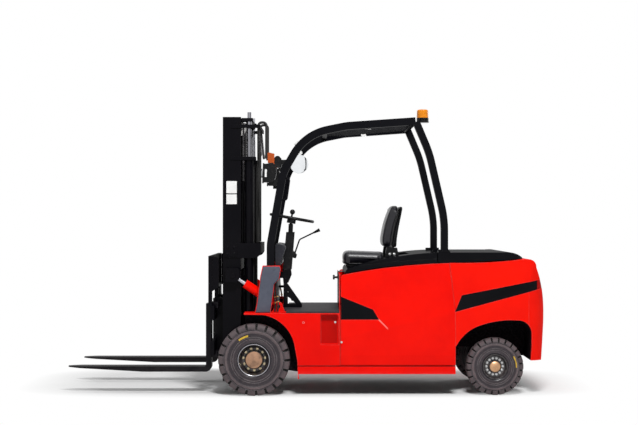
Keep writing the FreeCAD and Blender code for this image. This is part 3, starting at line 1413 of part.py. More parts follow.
def make_knuckle():
    """The steering knuckle: sleeve, spindle, kingpin and the steering arm on top of it."""
    centre = REAR_AXLE + V(0, KINGPIN_Y, 0)
    half_h = STEER_BEAM_H / 2
    sleeve = Part.makeCylinder(30, STEER_BEAM_H - 3, centre - V(0, 0, half_h - 1.5))
    end = V(centre.x, REAR_TYRE_OUTER_Y - 34, centre.z)
    spindle = rod(centre, end, SPINDLE_R)
    flange = rod(centre + V(0, 20, 0), centre + V(0, 46, 0), 40)
    pin_top = half_h + YOKE_T + 6
    kingpin = Part.makeCylinder(KINGPIN_R, pin_top + half_h + YOKE_T, centre - V(0, 0, half_h + YOKE_T))
    top = centre.z + pin_top
    arm = plan_prism(
        [
            (centre.x + 26, centre.y - 20), (centre.x + 26, centre.y + 20), (centre.x - 20, centre.y + 22),
            (centre.x - 88, centre.y - 6), (centre.x - 88, centre.y - 34),
        ],
        top,
        top + 16,
    )
    return fuse([sleeve, spindle, flange, kingpin, arm])


def main():
    os.makedirs("parts", exist_ok=True)
    base, lens = make_beacon()
    seat_base, cushion, seat_back = make_seat()
    front = V(0, FRONT_TYRE_OUTER_Y - FRONT_TYRE_W / 2, FRONT_R)
    rear = V(-WHEELBASE, REAR_TYRE_OUTER_Y - REAR_TYRE_W / 2, REAR_R)
    front_tyre = make_tyre(front, FRONT_R, FRONT_RIM_D / 2, FRONT_TYRE_W, FRONT_LUGS)
    rear_tyre = make_tyre(rear, REAR_R, REAR_RIM_D / 2, REAR_TYRE_W, REAR_LUGS)
    nodes = {
        "chassis_frame": [make_chassis()],
        "floor_plate": [make_floor()],
        "drive_axle": [make_drive_axle()],
        "steer_axle": [make_steer_axle()],
        "battery": [make_battery()],
        "side_panels": pair(make_side_panel()),
        "trim_inserts": make_inserts(),
        "counterweight": [make_counterweight()],
        "counterweight_cover": [make_cover()],
        "tail_lamps": pair(make_tail_lamp()),
        "tow_pin": [make_tow_pin()],
        "guard_left": [make_guard_side()],
        "guard_right": [mirrored(make_guard_side())],
        "guard_roof": [make_guard_roof()],
        "beacon_base": [base],
        "beacon_lens": [lens],
        "head_lamps": make_head_lamps(),
        "front_indicators": make_indicators(),
        "mirror": [make_mirror()],
        "grab_handle": [make_grab_handle()],
        "pillar_covers": make_pillar_covers(),
        "cowl": [make_cowl()],
        "column_bracket": [make_column_bracket()],
        "steering_column": [make_column()],
        "control_levers": [make_levers()],
        "pedals": make_pedals(),
        "tilt_pins": make_tilt_pins(),
        "steering_wheel": [make_steering_wheel()],
        "hood": [make_hood()],
        "hood_latch": [make_hood_latch()],
        "seat_base": [seat_base],
        "seat_cushion": [cushion],
        "seat_back": [seat_back],
        "outer_mast": [make_outer_mast()],
        "lift_barrels": make_lift_barrels(),
        "mast_hoses": make_mast_hoses(),
        "inner_mast": [make_inner_mast()],
        "lift_rods": make_lift_rods() + make_rod_nuts(),
        "chain_sheaves": make_sheaves(),
        "lift_chains": make_chains(),
        "fork_carriage": [make_carriage()],
        "load_backrest": [make_backrest()],
    }
    sided = {
        "fork": make_fork(),
        "tilt_barrel": make_tilt_barrel(),
        "tilt_rod": make_tilt_rod(),
        "front_tyre": front_tyre,
        "front_rim": make_front_rim(front),
        "knuckle": make_knuckle(),
        "rear_tyre": rear_tyre,
        "rear_rim": make_rear_rim(rear),
    }
    for name, shape in sided.items():
        nodes[name + "_left"] = [shape]
        nodes[name + "_right"] = [mirrored(shape)]
    for name, shapes in nodes.items():
        save(name, *shapes)


if __name__ == "__main__":
    main()
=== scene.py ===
import json
import math

import bmesh
import bpy
from mathutils import Matrix, Vector


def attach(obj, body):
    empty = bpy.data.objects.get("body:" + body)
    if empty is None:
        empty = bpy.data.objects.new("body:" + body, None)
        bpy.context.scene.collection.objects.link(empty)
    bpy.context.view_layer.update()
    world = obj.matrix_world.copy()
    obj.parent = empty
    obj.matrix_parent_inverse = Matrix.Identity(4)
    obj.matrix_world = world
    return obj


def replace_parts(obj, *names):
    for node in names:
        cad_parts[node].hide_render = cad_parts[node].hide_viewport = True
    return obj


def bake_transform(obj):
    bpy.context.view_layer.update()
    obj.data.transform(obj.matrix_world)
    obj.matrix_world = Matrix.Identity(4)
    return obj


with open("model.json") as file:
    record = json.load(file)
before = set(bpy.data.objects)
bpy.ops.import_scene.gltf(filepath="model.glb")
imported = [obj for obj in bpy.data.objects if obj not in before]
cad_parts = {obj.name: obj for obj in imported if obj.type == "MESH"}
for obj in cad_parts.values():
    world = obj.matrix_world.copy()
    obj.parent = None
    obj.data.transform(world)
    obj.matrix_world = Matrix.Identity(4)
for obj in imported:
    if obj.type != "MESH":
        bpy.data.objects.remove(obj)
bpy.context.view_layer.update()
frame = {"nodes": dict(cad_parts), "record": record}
nodes = frame["nodes"]
scene = bpy.context.scene

# The model is laid out from the front axle in millimetres; the frame's origin is ORIGIN_X further back.
ORIGIN_X = -423.0
REAR_AXLE_X = -1976.0

# Driving sizes in millimetres, as in the CAD source
FRONT_R, FRONT_W, FRONT_RIM_R = 294.0, 170.0, 127.0
REAR_R, REAR_W, REAR_RIM_R = 235.0, 132.0, 101.5
FRONT_Y, REAR_Y = 490.0, 464.0
FRONT_LUGS, REAR_LUGS = 21, 24
MAST_Y = 350.0
SHEAVE = (168.0, 193.0, 2236.0)
CHAIN_R = 59.8
SIDES = {"left": 1, "right": -1}

# Places on the body for the masks in its paint, in metres from the frame's origin: x, z or both
FRONT_ARCH, FRONT_ARCH_R = (0.423, 0.294), 0.376
TONGUE_X = -1.180
FRAME_SEAM_Z, PANEL_SEAM_Z = 0.246, 0.248
BULKHEAD_X = -0.262
LOW_CREASE = ((-0.284, 0.333), (-1.220, 0.333))
RISING_CREASE = ((-0.284, 0.472), (-1.220, 0.678))
# The line of the painted highlight that runs on from the black wedge's corner
WEDGE_LIP_HIGHLIGHT = ((-0.592, 0.629), (-0.664, 0.557))


def P(x, y, z):
    """A point given in millimetres from the front axle's middle on the ground."""
    return Vector(((x - ORIGIN_X) / 1000, y / 1000, z / 1000))


# Materials


class Tree:
    """A material's node tree, with short calls for the nodes that are used here."""

    def __init__(self, name):
        self.mat = bpy.data.materials.new(name)
        self.mat.use_nodes = True
        self.nt = self.mat.node_tree
        self.bsdf = self.nt.nodes["Principled BSDF"]
        self.out = self.nt.nodes["Material Output"]
        self.coord = self.nt.nodes.new("ShaderNodeTexCoord").outputs["Object"]

    def node(self, kind, **inputs):
        n = self.nt.nodes.new(kind)
        for key, value in inputs.items():
            self.put(n.inputs[key.replace("_", " ")], value)
        return n

    def put(self, socket, value):
        if isinstance(value, bpy.types.NodeSocket):
            self.nt.links.new(value, socket)
        else:
            socket.default_value = value

    def set(self, **inputs):
        for key, value in inputs.items():
            self.put(self.bsdf.inputs[key.replace("_", " ")], value)

    def scaled(self, scale):
        """The place with each axis stretched, which draws a noise out along the shorter one."""
        n = self.node("ShaderNodeMapping", Vector=self.coord)
        n.inputs["Scale"].default_value = scale
        return n.outputs["Vector"]

    def noise(self, scale, detail, rough, vector=None):
        place = self.coord if vector is None else vector
        n = self.node("ShaderNodeTexNoise", Vector=place, Scale=scale, Detail=detail, Roughness=rough)
        return n.outputs["Fac"]

    def cells(self, scale):
        return self.node("ShaderNodeTexVoronoi", Vector=self.coord, Scale=scale).outputs["Distance"]

    def ramp(self, value, stops):
        """A ramp of grey tones, as (share, tone)."""
        n = self.node("ShaderNodeValToRGB", Fac=value)
        while len(n.color_ramp.elements) < len(stops):
            n.color_ramp.elements.new(0.5)
        for element, (at, tone) in zip(n.color_ramp.elements, stops):
            element.position = at
            element.color = (tone, tone, tone, 1)
        return n.outputs["Color"]

    def fit(self, value, lo, hi, to_lo=0.0, to_hi=1.0):
        n = self.node("ShaderNodeMapRange", Value=value, From_Min=lo, From_Max=hi, To_Min=to_lo,
                      To_Max=to_hi)
        return n.outputs["Result"]

    def math(self, op, *values):
        """One math node for one or two values, and one more for each further value."""
        total = values[0]
        for value in values[1:] or (0.0,):
            n = self.nt.nodes.new("ShaderNodeMath")
            n.operation = op
            self.put(n.inputs[0], total)
            self.put(n.inputs[1], value)
            total = n.outputs[0]
        return total

    def times(self, *values):
        return self.math("MULTIPLY", *values)

    def plus(self, *values):
        return self.math("ADD", *values)

    def minus(self, value, less):
        return self.math("SUBTRACT", value, less)

    def highest(self, *values):
        return self.math("MAXIMUM", *values)

    def size(self, value):
        return self.math("ABSOLUTE", value)

    def mix(self, fac, a, b):
        n = self.nt.nodes.new("ShaderNodeMix")
        n.data_type = "RGBA"
        self.put(n.inputs["Factor"], fac)
        self.put(n.inputs["A"], a if isinstance(a, bpy.types.NodeSocket) else (*a, 1))
        self.put(n.inputs["B"], b if isinstance(b, bpy.types.NodeSocket) else (*b, 1))
        return n.outputs["Result"]

    def axis(self, which):
        """The place along an axis, in metres; Z is the height above the ground."""
        return self.node("ShaderNodeSeparateXYZ", Vector=self.coord).outputs[which]

    def facing(self, which):
        """How far the face looks along an axis, from -1 to 1."""
        normal = self.nt.nodes.new("ShaderNodeNewGeometry").outputs["Normal"]
        return self.node("ShaderNodeSeparateXYZ", Vector=normal).outputs[which]

    def away(self, middle):
        """Distance from a point (x, z), seen from the side."""
        across = self.minus(self.axis("X"), middle[0])
        up = self.minus(self.axis("Z"), middle[1])
        return self.math("SQRT", self.plus(self.math("POWER", across, 2.0), self.math("POWER", up, 2.0)))

    def edges(self, radius):
        """High on outside edges, where the wear and the painted highlights go, from the difference of the
        bevelled and the true normal.
        """
        bevel = self.node("ShaderNodeBevel", Radius=radius)
        bevel.samples = 4
        geometry = self.nt.nodes.new("ShaderNodeNewGeometry")
        dot = self.nt.nodes.new("ShaderNodeVectorMath")
        dot.operation = "DOT_PRODUCT"
        self.put(dot.inputs[0], bevel.outputs["Normal"])
        self.put(dot.inputs[1], geometry.outputs["Normal"])
        return self.minus(1.0, dot.outputs["Value"])

    def bump(self, value, strength, distance, soft_edge=0.0):
        n = self.node("ShaderNodeBump", Height=value, Strength=strength, Distance=distance)
        if soft_edge:
            bevel = self.node("ShaderNodeBevel", Radius=soft_edge)
            bevel.samples = 4
            self.put(n.inputs["Normal"], bevel.outputs["Normal"])
        self.put(self.bsdf.inputs["Normal"], n.outputs["Normal"])
        return n.outputs["Normal"]


def enamel(name, colour, dark, rough=0.28, coat=0.12, gloss=0.0, dust=(0.30, 0.25, 0.21), dust_top=0.30,
           edge=0.0025, coat_rough=0.10, painted_glint=0.0, underseal_and_shade=None, shade=None, relief=None, lip_highlight=None):
    """Sprayed enamel: slight orange peel, cloudy gloss, dust low down and thin wear on the edges.

    glint is how strongly a painted highlight lightens the outside edges. underseal, shade, relief and lip
    are
    masks: black seal paint, which on faces that look down is painted shade; painted shade and dark seams;
    pressed creases; and a painted highlight along a crease.
    """
    t = Tree(name)
    cloud = t.noise(3.0, 5.0, 0.6)
    fine = t.noise(90.0, 2.0, 0.5)
    base = t.mix(t.fit(cloud, 0.35, 0.75), colour, dark)
    low = t.fit(t.axis("Z"), dust_top, 0.05, 0.0, 0.55)
    patch = t.times(low, t.fit(t.noise(14.0, 6.0, 0.7), 0.35, 0.75))
    base = t.mix(patch, base, dust)
    speck = t.fit(t.noise(260.0, 3.0, 0.7), 0.66, 0.74)
    base = t.mix(t.times(speck, 0.10), base, dust)
    worn = t.times(t.fit(t.edges(edge), 0.02, 0.30), t.fit(t.noise(45.0, 5.0, 0.75), 0.52, 0.72), 0.35)
    base = t.mix(worn, base, (0.16, 0.13, 0.12))
    # Painted highlight: the outside edges, and one crease of the panel where its mask is given, lightened
    # toward pale pink as if they caught the light
    if painted_glint:
        lit = t.times(t.fit(t.edges(0.006), 0.02, 0.25), t.fit(t.noise(9.0, 4.0, 0.6), 0.30, 0.60))
        if lip_highlight:
            lit = t.highest(lit, t.times(lip_highlight(t), 1.6))
        base = t.mix(t.times(lit, painted_glint), base, (1.0, 0.30, 0.27))
    # Painted shade: the colour darkened to about a fifth where the shade mask is high; in the seams it is
    # dark paint
    if shade:
        base = t.mix(shade(t), base, tuple(c * 0.22 for c in colour))
    t.set(Coat_Weight=coat)
    # Black seal paint without coat; on faces that look down under the body it is painted shade
    if underseal_and_shade:
        grain = t.fit(t.noise(60.0, 5.0, 0.7), 0.4, 0.7)
        seal_and_shade = underseal_and_shade(t)
        base = t.mix(seal_and_shade, base, t.mix(grain, (0.006, 0.005, 0.006), (0.026, 0.021, 0.026)))
        t.set(Coat_Weight=t.fit(seal_and_shade, 0.0, 1.0, coat, 0.0))
    clouded = t.fit(cloud, 0.3, 0.8, rough - 0.05, rough + 0.07)
    t.set(Base_Color=base, Roughness=t.plus(clouded, t.times(patch, 0.35)))
    t.set(Coat_Roughness=coat_rough, Specular_IOR_Level=gloss)
    if relief:
        fine = t.plus(fine, t.times(relief(t), 30.0))
    t.set(Coat_Normal=t.bump(fine, 0.045, 0.002, edge))
    return t.mat


def metal(name, colour, rough, grain=(4.0, 4.0, 180.0), dirt=0.25):
    """Machined or rolled steel: directional grain, uneven gloss and dark dirt in patches."""
    t = Tree(name)
    brushed = t.noise(6.0, 3.0, 0.6, t.scaled(grain))
    stain = t.noise(18.0, 6.0, 0.7)
    base = t.mix(t.fit(stain, 0.45, 0.75, 0.0, dirt), colour, (0.05, 0.045, 0.04))
    dull = t.times(t.fit(stain, 0.45, 0.75), 0.12)
    t.set(Base_Color=base, Metallic=1.0)
    t.set(Roughness=t.plus(t.fit(brushed, 0.3, 0.7, rough - 0.06, rough + 0.08), dull))
    t.bump(brushed, 0.10, 0.0006, 0.0015)
    return t.mat


def plastic(name, colour, pale, rough=0.5, gloss=0.25, grain=420.0, depth=0.0004):
    """Moulded plastic with a fine leathery grain and a little dust."""
    t = Tree(name)
    cells = t.cells(grain)
    cloud = t.noise(7.0, 5.0, 0.65)
    base = t.mix(t.fit(cloud, 0.35, 0.75), colour, pale)
    dusty = t.times(t.fit(t.noise(30.0, 6.0, 0.75), 0.55, 0.8), 0.12)
    base = t.mix(dusty, base, (0.24, 0.22, 0.20))
    t.set(Base_Color=base, Specular_IOR_Level=gloss)
    t.set(Roughness=t.fit(cloud, 0.3, 0.8, rough - 0.07, rough + 0.08))
    t.bump(cells, 0.35, depth, 0.002)
    return t.mat


def rod_chrome(name):
    """Hard chrome with dark streaks drawn along the rod: oil, and a painted reflection of the mast that it
    stands in.
    """
    t = Tree(name)
    # Dark streaks: oil, and a painted reflection of the mast
    streak = t.fit(t.noise(1.0, 3.0, 0.6, t.scaled((120.0, 120.0, 1.2))), 0.38, 0.60)
    film = t.noise(30.0, 5.0, 0.65)
    t.set(Base_Color=t.mix(streak, (0.60, 0.60, 0.64), (0.060, 0.058, 0.070)), Metallic=1.0)
    t.set(Roughness=t.fit(film, 0.3, 0.75, 0.10, 0.24))
    t.bump(film, 0.05, 0.0006, 0.001)
    return t.mat


def rubber(name, colour, dusty, fine=160.0, dust_amount=0.6):
    """Rubber that has rolled through dust: brown in its hollows, blacker where it rubs."""
    t = Tree(name)
    patch = t.noise(11.0, 7.0, 0.72)
    grit = t.noise(fine, 4.0, 0.7)
    base = t.mix(t.times(t.fit(patch, 0.32, 0.70), dust_amount), colour, dusty)
    base = t.mix(t.times(t.fit(grit, 0.55, 0.75), 0.25), base, dusty)
    t.set(Base_Color=base, Specular_IOR_Level=0.3)
    t.set(Roughness=t.fit(patch, 0.3, 0.75, 0.65, 0.85))
    t.bump(grit, 0.30, 0.0010, 0.002)
    return t.mat


# How much pale colour lies on a side wall, from the rim (0) to the tread (1): dust, with painted shade in
# the bead's gap and in the rings' grooves, and a painted soft highlight just outside the bead
WALL_DUST_AND_SHADE = (
    (0.00, 0.04), (0.08, 0.02), (0.13, 0.16), (0.20, 0.10), (0.26, 0.40), (0.30, 0.06), (0.36, 0.30),
    (0.40, 0.10), (0.53, 0.10), (0.57, 0.60), (0.66, 0.66), (0.685, 0.03), (0.71, 0.20), (0.80, 0.42),
    (0.96, 0.62), (1.00, 0.50),
)
WALL_RIBS = 0.0075


def tyre_rubber(name, axle, rim_r, radius):
    """A dusty side wall: painted shade in the bead's gap and grooves, brown ribs, paler lugs, painted edge
    highlights.
    """
    t = Tree(name)
    away = t.away(axle)
    band = t.ramp(t.fit(away, rim_r, radius), WALL_DUST_AND_SHADE)
    patch = t.noise(13.0, 7.0, 0.72)
    streak = t.noise(55.0, 5.0, 0.75)
    grit = t.noise(190.0, 4.0, 0.7)
    # Pale colour by the wall's bands: dust, with painted shade in the bead's gap and grooves
    dust_and_shade = t.times(band, t.fit(patch, 0.30, 0.68, 0.55, 1.25))
    base = t.mix(dust_and_shade, (0.011, 0.008, 0.013), (0.165, 0.128, 0.132))
    base = t.mix(t.times(t.fit(streak, 0.58, 0.76), 0.40), base, (0.200, 0.150, 0.130))
    base = t.mix(t.times(t.fit(grit, 0.55, 0.75), 0.30), base, (0.050, 0.040, 0.042))
    # Pale edges: a painted highlight along the outside edges of the lugs and ribs
    worn = t.times(t.fit(t.edges(0.004), 0.03, 0.35), t.fit(patch, 0.30, 0.60), 0.7)
    base = t.mix(worn, base, (0.36, 0.33, 0.34))
    t.set(Base_Color=base, Specular_IOR_Level=0.35)
    t.set(Roughness=t.fit(dust_and_shade, 0.05, 0.6, 0.26, 0.80))
    ribs = t.math("SINE", t.times(away, math.tau / WALL_RIBS))
    t.bump(t.plus(t.times(ribs, 0.22), grit), 0.40, 0.0012, 0.002)
    return t.mat


def leather(name):
    """Black vinyl with a pebbled grain and soft sheen on its crown."""
    t = Tree(name)
    pebbles = t.cells(330.0)
    creases = t.noise(26.0, 6.0, 0.7)
    base = t.mix(t.fit(creases, 0.35, 0.75), (0.0034, 0.0030, 0.0056), (0.0090, 0.0082, 0.0125))
    t.set(Base_Color=base, Sheen_Weight=0.01, Sheen_Roughness=0.4, Specular_IOR_Level=0.42)
    t.set(Roughness=t.fit(creases, 0.3, 0.75, 0.27, 0.40))
    t.bump(t.plus(t.times(pebbles, 0.6), creases), 0.35, 0.0009)
    return t.mat


# Prism ribs of a lens, which a wave texture draws in turns of 2 pi
RIB_SCALE = 260.0 / 6.28


def lens(name, colour, gloss=0.25):
    """Moulded coloured lens with fine prism ribs."""
    t = Tree(name)
    ribs = t.node("ShaderNodeTexWave", Vector=t.coord, Scale=RIB_SCALE, Distortion=0.0)
    cloud = t.noise(40.0, 4.0, 0.6)
    t.set(Base_Color=t.mix(t.fit(cloud, 0.3, 0.8), colour, tuple(c * 0.72 for c in colour)))
    t.set(Roughness=t.fit(cloud, 0.3, 0.8, 0.12, 0.20))
    t.set(Coat_Weight=gloss, Coat_Roughness=0.06, Specular_IOR_Level=gloss * 0.6)
    t.bump(ribs.outputs["Fac"], 0.30, 0.0012, 0.0015)
    return t.mat


def mirror_glass(name):
    """Silvered glass with a faint haze."""
    t = Tree(name)
    haze = t.noise(22.0, 5.0, 0.6)
    t.set(Base_Color=t.mix(t.fit(haze, 0.4, 0.8), (0.86, 0.88, 0.90), (0.78, 0.80, 0.82)), Metallic=1.0)
    t.set(Roughness=t.fit(haze, 0.3, 0.8, 0.04, 0.09))
    t.bump(haze, 0.02, 0.001, 0.001)
    return t.mat


def below(t):
    """1 on faces that look down, near the ground: where the painted shade under the body goes."""
    return t.times(t.fit(t.facing("Z"), -0.6, -0.8), t.fit(t.axis("Z"), 0.40, 0.38))


def chassis_seal_and_shade(t):
    """Black seal paint inside the front arches and on the tongue behind the frame, and painted shade: black
    on the frame's faces that look down.
    """
    inside = t.fit(t.size(t.axis("Y")), 0.40, 0.39)
    tongue = t.times(inside, t.fit(t.axis("X"), TONGUE_X + 0.002, TONGUE_X - 0.002))
    within_skin = t.fit(t.size(t.axis("Y")), 0.549, 0.546)
    arch = t.times(within_skin, t.fit(t.away(FRONT_ARCH), FRONT_ARCH_R, FRONT_ARCH_R - 0.003))
    return t.highest(tongue, below(t), arch)


def cast_seal_and_shade(t):
    """Black seal paint inside the rear arches, and painted shade: black on the counterweight's faces that
    look down.
    """
    inside = t.fit(t.size(t.axis("Y")), 0.527, 0.524)
    along = t.times(t.fit(t.axis("X"), -1.215, -1.220), t.fit(t.axis("X"), -1.862, -1.858))
    return t.highest(below(t), t.times(inside, along, t.fit(t.axis("Z"), 0.632, 0.628)))


def frame_shade(t):
    """Dark paint in the sill's seam, and painted shade in the step pocket and on the bulkhead under the
    seat.
    """
    outside = t.fit(t.size(t.axis("Y")), 0.50, 0.51)
    seam = t.fit(t.size(t.minus(t.axis("Z"), FRAME_SEAM_Z)), 0.0070, 0.0035, 0.0, 0.85)
    along = t.times(t.fit(t.axis("X"), -0.260, -0.258), t.fit(t.axis("X"), -0.118, -0.120))
    upright = t.times(t.fit(t.axis("Z"), 0.426, 0.432), t.fit(t.axis("Z"), 0.676, 0.670))
    # Painted shade in the step pocket
    pocket = t.times(along, upright, t.fit(t.axis("X"), -0.120, -0.262, 0.42, 0.60))
    side = t.times(outside, t.highest(seam, pocket))
    # Painted shade on the bulkhead's forward face under the seat
    front = t.times(t.fit(t.facing("X"), 0.7, 0.8), t.fit(t.axis("X"), BULKHEAD_X, BULKHEAD_X - 0.006),
                    t.fit(t.axis("Z"), 0.685, 0.690), 0.9)
    return t.highest(side, front)


def across_line(t, line):
    """Signed distance above a line through two points (x, z), in metres."""
    start, end = line
    run, rise = end[0] - start[0], end[1] - start[1]
    length = math.copysign(math.hypot(run, rise), run)
    level = t.times(t.minus(t.axis("X"), start[0]), -rise / length)
    return t.plus(level, t.times(t.minus(t.axis("Z"), start[1]), run / length))


def panel_relief(t):
    """The pressed creases of the side panel: one rising to the stripe and one low and level."""
    rising = t.fit(across_line(t, RISING_CREASE), -0.007, 0.007)
    level = t.fit(across_line(t, LOW_CREASE), -0.006, 0.006)
    return t.plus(t.times(rising, 0.5), t.times(level, -0.7))


def panel_lip_highlight(t):
    """A painted highlight along the crease that runs on from the black wedge's corner."""
    near = t.fit(t.size(across_line(t, WEDGE_LIP_HIGHLIGHT)), 0.0070, 0.0025)
    return t.times(near, t.fit(t.axis("X"), -0.676, -0.666), t.fit(t.axis("X"), -0.586, -0.594))


def panel_shade(t):
    """Dark paint in the panel's seam, and painted shade a touch under its creases and on its front edge."""
    seam = t.fit(t.size(t.minus(t.axis("Z"), PANEL_SEAM_Z)), 0.0075, 0.0035, 0.0, 0.85)
    low = t.fit(across_line(t, LOW_CREASE), 0.004, -0.004, 0.0, 0.05)
    under = t.fit(across_line(t, RISING_CREASE), 0.010, -0.010, 0.0, 0.045)
    return t.highest(seam, t.plus(low, under), t.fit(t.facing("X"), 0.80, 0.90, 0.0, 0.8))


RED = enamel("red_enamel", (0.86, 0.0050, 0.0010), (0.74, 0.0030, 0.0010), rough=0.22, dust_top=0.21,
             painted_glint=0.45, shade=panel_shade, relief=panel_relief, lip_highlight=panel_lip_highlight)
RED_FRAME = enamel("red_frame_enamel", (0.82, 0.0040, 0.0010), (0.70, 0.0028, 0.0010), rough=0.24,
                   dust_top=0.21, painted_glint=0.45, underseal_and_shade=chassis_seal_and_shade, shade=frame_shade)
RED_CAST = enamel("red_cast_enamel", (0.86, 0.0070, 0.0012), (0.76, 0.0045, 0.0012), rough=0.22,
                  painted_glint=0.40, underseal_and_shade=cast_seal_and_shade)
BLACK = enamel("black_enamel", (0.0020, 0.0020, 0.0034), (0.0044, 0.0044, 0.0064), rough=0.24, coat=0.15,
               dust=(0.06, 0.055, 0.05), coat_rough=0.16)
MAST = enamel("mast_enamel", (0.0020, 0.0018, 0.0032), (0.0044, 0.0040, 0.0054), dust=(0.055, 0.05, 0.045),
              edge=0.002, coat_rough=0.20)
FORK = enamel("fork_enamel", (0.0030, 0.0024, 0.0042), (0.008, 0.0065, 0.0085), rough=0.34, coat=0.22,
              dust=(0.07, 0.06, 0.055), edge=0.003, coat_rough=0.22)
HOOD_BLACK = enamel("hood_lacquer", (0.0016, 0.0016, 0.0026), (0.0034, 0.0034, 0.0050), rough=0.24,
                    coat=0.14, dust=(0.06, 0.055, 0.05), coat_rough=0.16)
RIM = enamel("rim_enamel", (0.010, 0.009, 0.012), (0.030, 0.025, 0.027), rough=0.30, coat=0.9, gloss=0.3,
             dust=(0.11, 0.085, 0.080), dust_top=0.9, coat_rough=0.12)
BATTERY = enamel("battery_enamel", (0.06, 0.075, 0.095), (0.085, 0.10, 0.12), rough=0.45, coat=0.05)
GREY = plastic("grey_moulding", (0.066, 0.073, 0.100), (0.096, 0.105, 0.136), rough=0.48, gloss=0.15)
DASH = plastic("dash_moulding", (0.016, 0.0165, 0.022), (0.027, 0.028, 0.035), gloss=0.15)
BLACK_PLASTIC = plastic("black_moulding", (0.0035, 0.0035, 0.0042), (0.0075, 0.0075, 0.0085), rough=0.38,
                        gloss=0.16)
LAMP_BLACK = plastic("lamp_moulding", (0.0040, 0.0040, 0.0046), (0.0080, 0.0080, 0.0088), rough=0.25,
                     gloss=0.14, grain=700.0, depth=0.0001)
STICKER = plastic("blank_sticker", (0.80, 0.80, 0.79), (0.72, 0.72, 0.71), rough=0.4, grain=900.0,
                  depth=0.00005)
MAT = rubber("floor_rubber", (0.010, 0.009, 0.012), (0.040, 0.036, 0.040), dust_amount=0.5)
TYRE_FRONT = tyre_rubber("tyre_rubber_front", (-ORIGIN_X / 1000, FRONT_R / 1000), FRONT_RIM_R / 1000,
                         FRONT_R / 1000)
TYRE_REAR = tyre_rubber("tyre_rubber_rear", ((REAR_AXLE_X - ORIGIN_X) / 1000, REAR_R / 1000),
                        REAR_RIM_R / 1000, REAR_R / 1000)
# The darker rubber on the faces inside the tread's grooves is painted shade in the grooves
TYRE_DARK = rubber("tyre_groove", (0.0045, 0.0040, 0.0040), (0.020, 0.016, 0.015), dust_amount=0.4)
HOSE = rubber("hose_rubber", (0.012, 0.012, 0.012), (0.045, 0.042, 0.040), fine=300.0, dust_amount=0.35)
PATCH = rubber("yellow_patch", (0.62, 0.40, 0.03), (0.34, 0.23, 0.06), dust_amount=0.5)
LIP = metal("rim_lip", (0.40, 0.39, 0.42), 0.22, (20.0, 20.0, 20.0), 0.55)
HUB = metal("hub_steel", (0.40, 0.235, 0.15), 0.50, (60.0, 60.0, 60.0), 0.70)
CAP = metal("hub_cap", (0.62, 0.36, 0.20), 0.36, (60.0, 60.0, 60.0), 0.45)
STEEL = metal("bare_steel", (0.46, 0.45, 0.44), 0.34)
CHROME = metal("hard_chrome", (0.46, 0.46, 0.49), 0.13, (3.0, 3.0, 60.0), 0.10)
LIFT_ROD = rod_chrome("lift_rod_chrome")
BRASS = metal("brass", (0.72, 0.45, 0.16), 0.28, (30.0, 30.0, 30.0))
LINK = metal("chain_steel", (0.105, 0.10, 0.105), 0.42, (40.0, 40.0, 40.0), 0.55)
NUT = metal("passivated_steel", (0.62, 0.52, 0.34), 0.30, (30.0, 30.0, 30.0), 0.45)
ZINC = metal("zinc_plate", (0.62, 0.62, 0.62), 0.30, (25.0, 25.0, 25.0))
LEATHER = leather("seat_vinyl")
AMBER = lens("amber_lens", (0.74, 0.230, 0.002))
AMBER_DARK = lens("indicator_lens", (0.42, 0.070, 0.006))
RED_LENS = lens("red_lens", (0.42, 0.003, 0.002), gloss=0.04)
MIRROR = mirror_glass("mirror_glass")

slot_material = {
    "body_paint": RED, "black_paint": BLACK, "mast_paint": MAST, "bare_steel": STEEL, "chrome": CHROME,
    "grey_plastic": GREY, "black_plastic": BLACK_PLASTIC, "mat_rubber": MAT, "tyre_rubber": TYRE_FRONT,
    "rim_paint": RIM, "seat_leather": LEATHER, "amber_lens": AMBER, "red_lens": RED_LENS,
    "lamp_black": LAMP_BLACK, "mirror_glass": MIRROR, "battery_case": BATTERY, "hose_black": HOSE,
}
node_material = {
    "hood": HOOD_BLACK, "counterweight_cover": HOOD_BLACK, "fork_left": FORK, "fork_right": FORK,
    "trim_inserts": HOOD_BLACK, "hood_latch": LAMP_BLACK, "lift_rods": LIFT_ROD, "tilt_pins": BLACK,
    "chassis_frame": RED_FRAME, "counterweight": RED_CAST, "cowl": DASH, "seat_base": BLACK_PLASTIC,
    "front_indicators": AMBER_DARK,
}
for entry in frame["record"]["subparts"]:
    obj = nodes[entry["node"]]
    material = node_material.get(entry["node"], slot_material[entry["material_slot"]])
    for s in obj.material_slots:
        s.link = "OBJECT"
        s.material = material


# Makers of pieces


def link_in(obj, body, material=None, smooth=None):
    """Puts a new piece in the scene, shades it and lets it ride on a body."""
    scene.collection.objects.link(obj)
    if material is not None:
        obj.data.materials.clear()
        obj.data.materials.append(material)
    if smooth is not None:
        for poly in obj.data.polygons:
            poly.use_smooth = True
        obj.data.set_sharp_from_angle(angle=math.radians(smooth))
    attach(obj, body)
    return obj


def mesh_object(name, verts, faces, flip=False):
    """A mesh in the scene's data, not linked yet; flip turns its faces inside out."""
    mesh = bpy.data.meshes.new(name)
    mesh.from_pydata(verts, [], [tuple(reversed(f)) for f in faces] if flip else faces)
    mesh.update()
    return bpy.data.objects.new(name, mesh)


def built_object(name, bm):
    """An object from a finished bmesh."""
    mesh = bpy.data.meshes.new(name)
    bm.to_mesh(mesh)
    bm.free()
    return bpy.data.objects.new(name, mesh)


def outward(at, normal):
    """A placing with Z along a normal at a point in millimetres."""
    return Matrix.Translation(P(*at)) @ Vector(normal).to_track_quat("Z", "X").to_matrix().to_4x4()


def polar(centre, radius, angle, y):
    """A point on a circle round an axle, at a place across the truck."""
    return (centre[0] + radius * math.cos(angle), y, centre[2] + radius * math.sin(angle))


